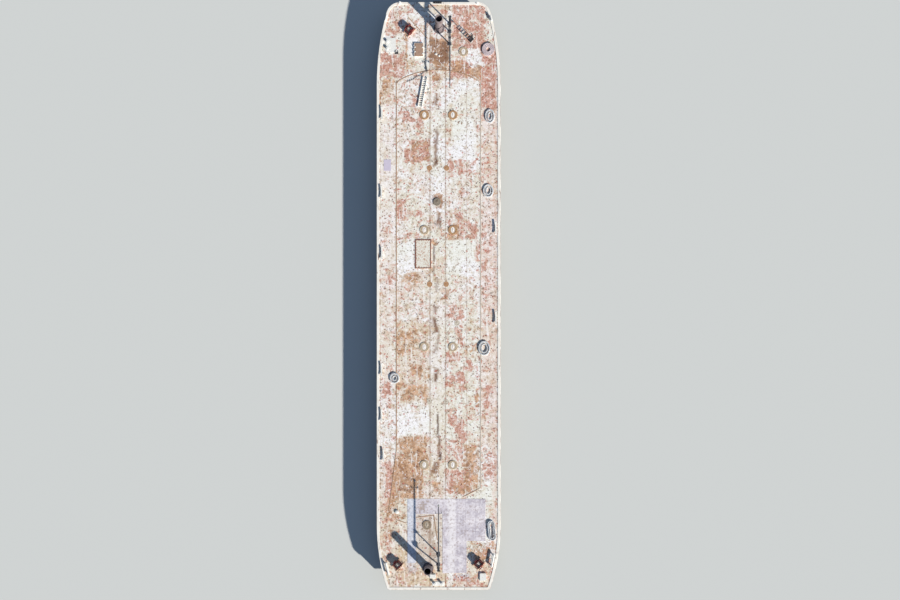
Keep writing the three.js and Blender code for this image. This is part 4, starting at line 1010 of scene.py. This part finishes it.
for name in [cad_name for cad_name in frame["nodes"] if cad_name.startswith("manhole")]:
    dirty = name == DIRTY_MANHOLE
    low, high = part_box(name)
    centre = at(((low.x + high.x) / 2, (low.y + high.y) / 2, deck_top))
    ring = ([], [])
    oval_flange(ring, centre)
    for i in range(COVER_BOLTS):
        angle = 2 * math.pi * (i + 0.5) / COVER_BOLTS
        turned(ring, BOLT_HEAD, 6, centre @ at((
            BOLTS_HALF_WIDE * math.cos(angle), BOLTS_HALF_LONG * math.sin(angle), RING_HIGH - 0.001)))
    ring_paint = rusted_ring if name in RUSTED_RINGS else dirty_ring if dirty else stained_ring
    form_piece(name + "_ring", ring, "barge", ring_paint, (name,), smooth_below=30)
    cover = ([], [])
    narrowed = centre @ Matrix.Diagonal((OVAL_HALF_WIDE / OVAL_HALF_LONG, 1, 1, 1))
    turned(cover, COVER, 40, narrowed)
    block(cover, (-BAR_HALF_WIDE, -BAR_HALF_LONG, BAR_TOP - 0.01),
          (BAR_HALF_WIDE, BAR_HALF_LONG, BAR_TOP), centre)
    for y in (-BAR_HALF_LONG + 0.01, BAR_HALF_LONG - 0.01):
        block(cover, (-BAR_HALF_WIDE, y - 0.008, COVER_HIGH - 0.002),
              (BAR_HALF_WIDE, y + 0.008, BAR_TOP - 0.009), centre)
    form_piece(name + "_cover", cover, "barge", dirty_cover if dirty else cover_paint,
               smooth_below=30)


# Dogged hatch: white coaming with a hinged lid that has rusted bare to its edge, and white plates
# bolted on the lid where its dogs and its hinge straps bear
PANEL_MIDDLE = (-0.985, 12.29)
PANEL_HALF = (0.224, 0.33)
PANEL_BLEND = 0.004


def hatch_lid_paint():
    """Bare plate rusted an even brown, with white enamel left along the lid's very edge."""
    material, tree, place = new_finish("half_bared_lid_plate")
    split = node(tree, "SeparateXYZ", {"Vector": place})
    across, along = (
        node(tree, "MapRange", {"Value": off_line(tree, split.outputs[axis], middle),
                                "From Min": half + PANEL_BLEND, "From Max": half - PANEL_BLEND})
        for axis, middle, half in zip("XY", PANEL_MIDDLE, PANEL_HALF)
    )
    inside = node(tree, "Math", {0: across, 1: along}, operation="MULTIPLY")
    stains = node(tree, "TexNoise", {"Vector": place, "Scale": 1 / 0.12, "Detail": 6.0})
    rust = node(tree, "Mix", {"Factor": stains, "A": "8f7464", "B": "c0a08a"}, data_type="RGBA")
    enamel = laid_over(tree, "f1f1ec", stains, 0.6, 0.7, 1.0, "a58468")
    mixed = node(tree, "Mix", {"Factor": inside, "A": enamel, "B": rust}, data_type="RGBA")
    return finished(material, {"Base Color": mixed, "Roughness": 0.7}, stains)


repaint("hatch_coaming", white, bevel=0.002)
repaint("hatch_lid", hatch_lid_paint(), bevel=0.002)
LID_PLATES = [(-1.175, 12.41), (-1.175, 12.185), (-0.795, 12.40), (-0.795, 12.09)]
LID_PLATE_HALF_LONG, LID_PLATE_HALF_WIDE, LID_PLATE_THICK = 0.036, 0.03, 0.008
low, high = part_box("hatch_lid")
lid_plates = ([], [])
for x, y in LID_PLATES:
    seat = at((x, y, high.z))
    block(lid_plates, (-LID_PLATE_HALF_LONG, -LID_PLATE_HALF_WIDE, 0),
          (LID_PLATE_HALF_LONG, LID_PLATE_HALF_WIDE, LID_PLATE_THICK), seat)
    turned(lid_plates, BOLT_HEAD, 6, seat @ at((0, 0, LID_PLATE_THICK)))
form_piece("hatch_lid_plates", lid_plates, "hatch_lid", white, bevel=0.001)

# Long hatch amidships: flat-bar frame, rusted red brown, round a cover in pale worn paint with
# bolts along its edge
BOLT_EDGE = 0.075
BOLT_PITCH = 0.12
HATCH_COVER_TOP = deck_top + 0.0145
HATCH_BAR = 0.048
HATCH_BAR_FOOT, HATCH_BAR_TOP = deck_top + 0.0225, deck_top + 0.0245
repaint("long_hatch", painted_steel("worn_hatch_paint", "f2f0ea", "d9d7c6", "bd9a84", 0.52, 70))
low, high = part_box("long_hatch")
bolts = ([], [])
for x in np.arange(low.x + BOLT_EDGE, high.x - BOLT_EDGE + 0.001, BOLT_PITCH):
    for y in (low.y + BOLT_EDGE, high.y - BOLT_EDGE):
        turned(bolts, BOLT_HEAD, 6, at((x, y, HATCH_COVER_TOP)))
for y in np.arange(low.y + BOLT_EDGE + BOLT_PITCH, high.y - BOLT_EDGE - BOLT_PITCH / 2, BOLT_PITCH):
    for x in (low.x + BOLT_EDGE, high.x - BOLT_EDGE):
        turned(bolts, BOLT_HEAD, 6, at((x, y, HATCH_COVER_TOP)))
form_piece("long_hatch_bolts", bolts, "barge", weld_rust)
frame_rust = painted_steel("red_rusted_hatch_frame", "a8735a", "8c5843", "6a4132", 0.45, 90, 0.85)
capping = ([], [])
for corner_a, corner_b in (
    ((low.x, low.y), (high.x, low.y + HATCH_BAR)), ((low.x, high.y - HATCH_BAR), (high.x, high.y)),
    ((low.x, low.y + HATCH_BAR), (low.x + HATCH_BAR, high.y - HATCH_BAR)),
    ((high.x - HATCH_BAR, low.y + HATCH_BAR), (high.x, high.y - HATCH_BAR)),
):
    block(capping, (*corner_a, HATCH_BAR_FOOT), (*corner_b, HATCH_BAR_TOP))
form_piece("long_hatch_bar", capping, "barge", frame_rust, bevel=0.0008)

# Round tank cover: grey-brown cast cover with a bolt circle and a filler boss
ROUND_COVER_BOLTS = 12
ROUND_COVER_BOLT_CIRCLE = 0.165
ROUND_COVER_FLANGE = 0.034
cover_grey = painted_steel("grey_brown_cover", "978d7d", "81776a", "6b5444", 0.4, 100)
repaint("round_cover", cover_grey, bevel=0.002)
low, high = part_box("round_cover")
bolts = ([], [])
centre = at(((low.x + high.x) / 2, (low.y + high.y) / 2, deck_top))
for outward in shared_round(ROUND_COVER_BOLTS):
    turned(bolts, BOLT_HEAD, 6, centre @ outward @ at((ROUND_COVER_BOLT_CIRCLE, 0, ROUND_COVER_FLANGE)))
form_piece("round_cover_bolts", bolts, "barge", cover_grey)

# Stern doubler: steel sheets laid on the after deck in lilac-grey primer. The sheets butt along
# faint seams; the narrow one to port has weathered nearly white.
SHEET_SEAMS = (0.92, 1.35, 1.85)
SHEET_ROWS = 0.43
PALE_STRIPS = (
    # middle across the deck, half width, softness of its edge, strength, colour
    (-1.345, 0.215, 0.02, 0.75, "cfd6e2"),
    (0.66, 0.17, 0.2, 0.6, "f4f1f3"),
)
SPILL = (-0.85, -10.55, 1.508)
SPILL_RADIUS = 0.42
# how ragged the spill's edge is, and where it starts and is full, in parts of its radius
SPILL_RAGGED, SPILL_STARTS, SPILL_FULL = 4, 1.3, 1.9


def sheet_primer():
    """Zinc phosphate primer: flat lilac grey, faintly clouded and flecked, with darker lines at the
    seams and a brown stain where something was spilt."""
    material, tree, place = new_finish("lilac_grey_zinc_phosphate_primer")
    split = node(tree, "SeparateXYZ", {"Vector": place})
    cloud = node(tree, "TexNoise", {"Vector": place, "Scale": 1 / 0.5, "Detail": 6.0})
    flecks = node(tree, "TexNoise", {"Vector": place, "Scale": 1 / 0.11, "Detail": 3.0, "Roughness": 0.7})
    primer = laid_over(tree, "bfb9c4", cloud, 0.36, 0.64, 1.0, "e8e3e9")
    for middle, half_wide, softness, most, hue in PALE_STRIPS:
        off = off_line(tree, split.outputs["X"], middle)
        primer = laid_over(tree, primer, off, half_wide + softness / 2, half_wide - softness / 2, most, hue)
    for low, high, most, hue in ((0.54, 0.64, 0.6, "a3928c"), (0.45, 0.37, 0.55, "f7f4f5")):
        primer = laid_over(tree, primer, flecks, low, high, most, hue)
    for seam in SHEET_SEAMS:
        off = off_line(tree, split.outputs["X"], seam)
        primer = laid_over(tree, primer, off, 0.03, 0.01, 0.3, "9c93a0")
    row = node(tree, "Math", {0: split.outputs["Y"], 1: SHEET_ROWS / 2}, operation="PINGPONG")
    primer = laid_over(tree, primer, row, 0.025, 0.005, 0.2, "a69dab")
    from_spill = node(tree, "VectorMath", {0: place, 1: SPILL}, operation="DISTANCE")
    spill = node(tree, "Math", {0: flecks, 1: -SPILL_RAGGED * SPILL_RADIUS, 2: from_spill.outputs["Value"]},
                 operation="MULTIPLY_ADD")
    primer = laid_over(tree, primer, spill, -SPILL_RADIUS * SPILL_STARTS, -SPILL_RADIUS * SPILL_FULL, 0.6,
                       "a8937c")
    return finished(material, {"Base Color": primer, "Roughness": 0.85, "Specular IOR Level": 0.2},
                    flecks, 0.25)


lilac = sheet_primer()
repaint("stern_plate", lilac, bevel=0.001)

# Signal light stand: a ladder frame with a lamp on its staff, and a glass band in the lamp. The frame's
# near-black paint is painted shade: it is made dark so that the stand reads as dark as the lattice of its own
# shadow.
LAMP_BAND = [(0.034, 0.612), (0.036, 0.616), (0.036, 0.644), (0.034, 0.648), (0.028, 0.648), (0.028, 0.612)]
# painted shade: the frame is painted near black to match the dark of the lattice's shadow
stand_paint_as_painted_shade = painted_steel("black_stand_paint_as_painted_shade", "35373c", "26282c", "4a372d", 0.3, 60, 0.5)
repaint("light_stand", stand_paint_as_painted_shade, bevel=0.0015)
low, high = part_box("light_stand")
glass = ([], [])
turned(glass, LAMP_BAND, 24, at(((low.x + high.x) / 2, (low.y + high.y) / 2, low.z)))
form_piece("stand_lamp_glass", glass, "barge", lantern_glass, smooth_below=40)

# Fairleads: a pair of upright rollers between two plates on the bow kerb, black with grease, and
# a white one on the after deck's edge
FAIRLEADS = {
    # centre x and y, half width between the rollers, half length of the plate, half depth, height
    "bow": (-0.05, 14.655, 0.11, 0.2, 0.04, 0.016),
    "stern": (-0.29, -14.0, 0.09, 0.15, 0.12, 0.0),
}
ROLLER = [(0, 0.014), (0.032, 0.014), (0.034, 0.03), (0.028, 0.067), (0.034, 0.104), (0.032, 0.12),
          (0, 0.12)]
FAIRLEAD_BASE_THICK = 0.014
FAIRLEAD_CAP_FROM, FAIRLEAD_CAP_TO = 0.12, 0.132
ROLLER_NUT = [(0, 0.132), (0.014, 0.132), (0.014, 0.142), (0, 0.142)]
black_iron = painted_steel("greasy_black_casting", "33363c", "222529", "4d3a30", 0.35, 50, 0.45)
for end, (x, y, roller_at, half_long, half_deep, lift) in FAIRLEADS.items():
    finish = black_iron if end == "bow" else white
    fairlead = ([], [])
    seat = at((x, y, deck_top + lift))
    block(fairlead, (-half_long, -half_deep, 0), (half_long, half_deep, FAIRLEAD_BASE_THICK), seat)
    block(fairlead, (-half_long, -half_deep * 0.7, FAIRLEAD_CAP_FROM),
          (half_long, half_deep * 0.7, FAIRLEAD_CAP_TO), seat)
    for side in (-1, 1):
        post = seat @ at((side * roller_at, 0, 0))
        turned(fairlead, ROLLER, 18, post)
        turned(fairlead, ROLLER_NUT, 6, post)
        block(fairlead, (side * half_long - 0.012, -half_deep * 0.5, FAIRLEAD_BASE_THICK),
              (side * half_long + (0.0 if side > 0 else 0.024), half_deep * 0.5, FAIRLEAD_CAP_FROM), seat)
    form_piece("fairlead_" + end, fairlead, "barge", finish, bevel=0.0015, smooth_below=30)

# Small deck fittings: flush tank plugs, white sounding-pipe caps and a pad eye, all screwed or
# welded into the plating
RUSTED_PLUGS = [(-0.46, 6.4), (0.395, 6.4), (-0.45, 0.59), (0.38, 0.59)]
PAINTED_PLUGS = [(0.92, -1.35), (-0.46, -5.27), (0.38, -5.3)]
PLUG_SHAPE = [(0, 0), (0.135, 0), (0.135, 0.006), (0.12, 0.008), (0.117, 0.004), (0.03, 0.004), (0.028, 0.01),
              (0, 0.01)]
CAPS = [(-0.605, 10.8), (-0.13, 12.1), (-0.48, 10.3), (0.03, 12.0)]
CAP_SHAPE = [(0, 0), (0.05, 0), (0.05, 0.02), (0.044, 0.028), (0.016, 0.03), (0.014, 0.04), (0, 0.04)]
PAD_EYE = (-2.1, 12.15)
plug_rust = painted_steel("rusted_plug_casting", "c49c76", "ac825f", "8a6248", 0.5, 60, 0.85)
plug_paint = painted_steel("worn_plug_paint", "dcd8cc", "bdb3a2", "8c6a54", 0.5, 40, 0.7)
for plug_name, places, finish in (
    ("rusted", RUSTED_PLUGS, plug_rust), ("painted", PAINTED_PLUGS, plug_paint),
):
    plugs = ([], [])
    for x, y in places:
        turned(plugs, PLUG_SHAPE, 28, at((x, y, deck_top)))
    form_piece("tank_plugs_" + plug_name, plugs, "barge", finish, smooth_below=30)
caps = ([], [])
for x, y in CAPS:
    turned(caps, CAP_SHAPE, 20, at((x, y, deck_top)))
form_piece("sounding_caps", caps, "barge", white, smooth_below=30)


def ring_link(form, half_long, half_wide, wire_radius, where, sides=8, steps=7):
    """Adds an oval link of round bar, lying in its own XY plane."""
    points, faces = form
    start = len(points)
    straight = half_long - half_wide
    route = [(math.copysign(straight, math.cos(a)) + half_wide * math.cos(a), half_wide * math.sin(a), a)
             for a in [math.pi * (i / steps - 0.5) for i in range(steps + 1)]
             + [math.pi * (i / steps + 0.5) for i in range(steps + 1)]]
    for x, y, angle in route:
        for j in range(sides):
            turn = 2 * math.pi * j / sides
            reach = wire_radius * math.cos(turn)
            points.append(where @ Vector((x + reach * math.cos(angle), y + reach * math.sin(angle),
                                          wire_radius * math.sin(turn))))
    for i in range(len(route)):
        here, there = start + i * sides, start + (i + 1) % len(route) * sides
        for j in range(sides):
            after = (j + 1) % sides
            faces.append([here + j, there + j, there + after, here + after])


eye = ([], [])
seat = at((*PAD_EYE, deck_top))
block(eye, (-0.08, -0.05, 0), (0.08, 0.05, 0.012), seat)
ring_link(eye, 0.045, 0.035, 0.01, seat @ at((0, 0, 0.035)) @ about("X", math.pi / 2))
ring_link(eye, 0.075, 0.06, 0.008, seat @ at((0.0, 0.07, 0.024)) @ about("X", 0.15))
form_piece("pad_eye", eye, "barge", black_iron, smooth_below=50)

# Chain: a length of galvanised stud chain lying on the fore deck, in two legs. Its links lie
# flat and on edge by turns.
LINK_HALF_LONG = 0.036
LINK_HALF_WIDE = 0.021
LINK_WIRE = 0.0055
LINK_PITCH = 0.05
LINK_FLAT_AT, LINK_ON_EDGE_AT = 0.012, 0.024
LINK_FLAT_TILT, LINK_ON_EDGE_TILT = 0.1, math.pi / 2 * 0.8
CHAIN_WANDER = 0.012
CHAIN_LEGS = [
    [(-0.70, 11.72), (-0.62, 11.45), (-0.58, 11.18)], [(-0.56, 11.28), (-0.95, 11.02), (-1.56, 10.70)],
]
chain_zinc = painted_steel("weathered_galvanised_chain", "8f9094", "6a6b70", "4a3a34", 0.5, 40, 0.5)
chain = ([], [])
for leg in CHAIN_LEGS:
    for (x0, y0), (x1, y1) in zip(leg, leg[1:]):
        count = int(math.hypot(x1 - x0, y1 - y0) / LINK_PITCH)
        heading = about("Z", math.atan2(y1 - y0, x1 - x0))
        for i in range(count):
            share = (i + 0.5) / count
            wander = CHAIN_WANDER * math.sin(7 * share + x0 * 9)
            on_edge = i % 2
            where = at((x0 + (x1 - x0) * share + wander, y0 + (y1 - y0) * share - wander,
                        deck_top + (LINK_ON_EDGE_AT if on_edge else LINK_FLAT_AT)))
            tilt = about("X", LINK_ON_EDGE_TILT if on_edge else LINK_FLAT_TILT)
            ring_link(chain, LINK_HALF_LONG, LINK_HALF_WIDE, LINK_WIRE, where @ heading @ tilt)
form_piece("deck_chain", chain, "barge", chain_zinc, smooth_below=60)

# Side doubler: a small lilac-primed plate welded on the port side deck
DOUBLER_AT = (-2.56, 6.54)
DOUBLER_HALF = (0.178, 0.28)
DOUBLER_THICK = 0.006
(x, y), (half_x, half_y) = DOUBLER_AT, DOUBLER_HALF
doubler = ([], [])
block(doubler, (x - half_x, y - half_y, deck_top), (x + half_x, y + half_y, deck_top + DOUBLER_THICK))
doubler_primer = painted_steel("lilac_grey_doubler_primer", "d3cbdc", "c2bacd", "a79fae", 0.3, 60, 0.75)
form_piece("side_doubler", doubler, "barge", doubler_primer, bevel=0.001)

# Floor and light: a pale studio floor at the waterline, a low soft sun from the starboard
# quarter and an even pale surround
SUN_HEIGHT = math.radians(25)
SUN_WIDTH = math.radians(1.5)
SUN_STRENGTH = 6.6
SUN_TINT = (1.0, 0.946, 0.859)
SURROUND_TINT = (0.45, 0.65, 1.0, 1.0)
SURROUND_STRENGTH = 0.27
FLOOR_HALF = 150
mesh = bpy.data.meshes.new("studio_floor")
corners = [(x * FLOOR_HALF, y * FLOOR_HALF, WATERLINE) for x, y in ((-1, -1), (1, -1), (1, 1), (-1, 1))]
mesh.from_pydata(corners, [], [(0, 1, 2, 3)])
floor = bpy.data.objects.new("studio_floor", mesh)
bpy.context.scene.collection.objects.link(floor)
material, tree, place = new_finish("pale_studio_floor")
mesh.materials.append(
    finished(material, {"Base Color": "cfd2d0", "Roughness": 0.95, "Specular IOR Level": 0.0}))

sun = bpy.data.lights.new("sun", "SUN")
sun.energy = SUN_STRENGTH
sun.angle = SUN_WIDTH
sun.color = SUN_TINT
sun_object = bpy.data.objects.new("sun", sun)
towards_sun = Vector((math.cos(SUN_HEIGHT) / math.sqrt(2), -math.cos(SUN_HEIGHT) / math.sqrt(2),
                      math.sin(SUN_HEIGHT)))
sun_object.rotation_mode = "QUATERNION"
sun_object.rotation_quaternion = towards_sun.to_track_quat("Z", "Y")
bpy.context.scene.collection.objects.link(sun_object)
world = bpy.data.worlds.new("surround")
world.use_nodes = True
set_inputs(world.node_tree.nodes["Background"], {"Color": SURROUND_TINT, "Strength": SURROUND_STRENGTH})
bpy.context.scene.world = world
bpy.context.scene.view_settings.view_transform = "Standard"
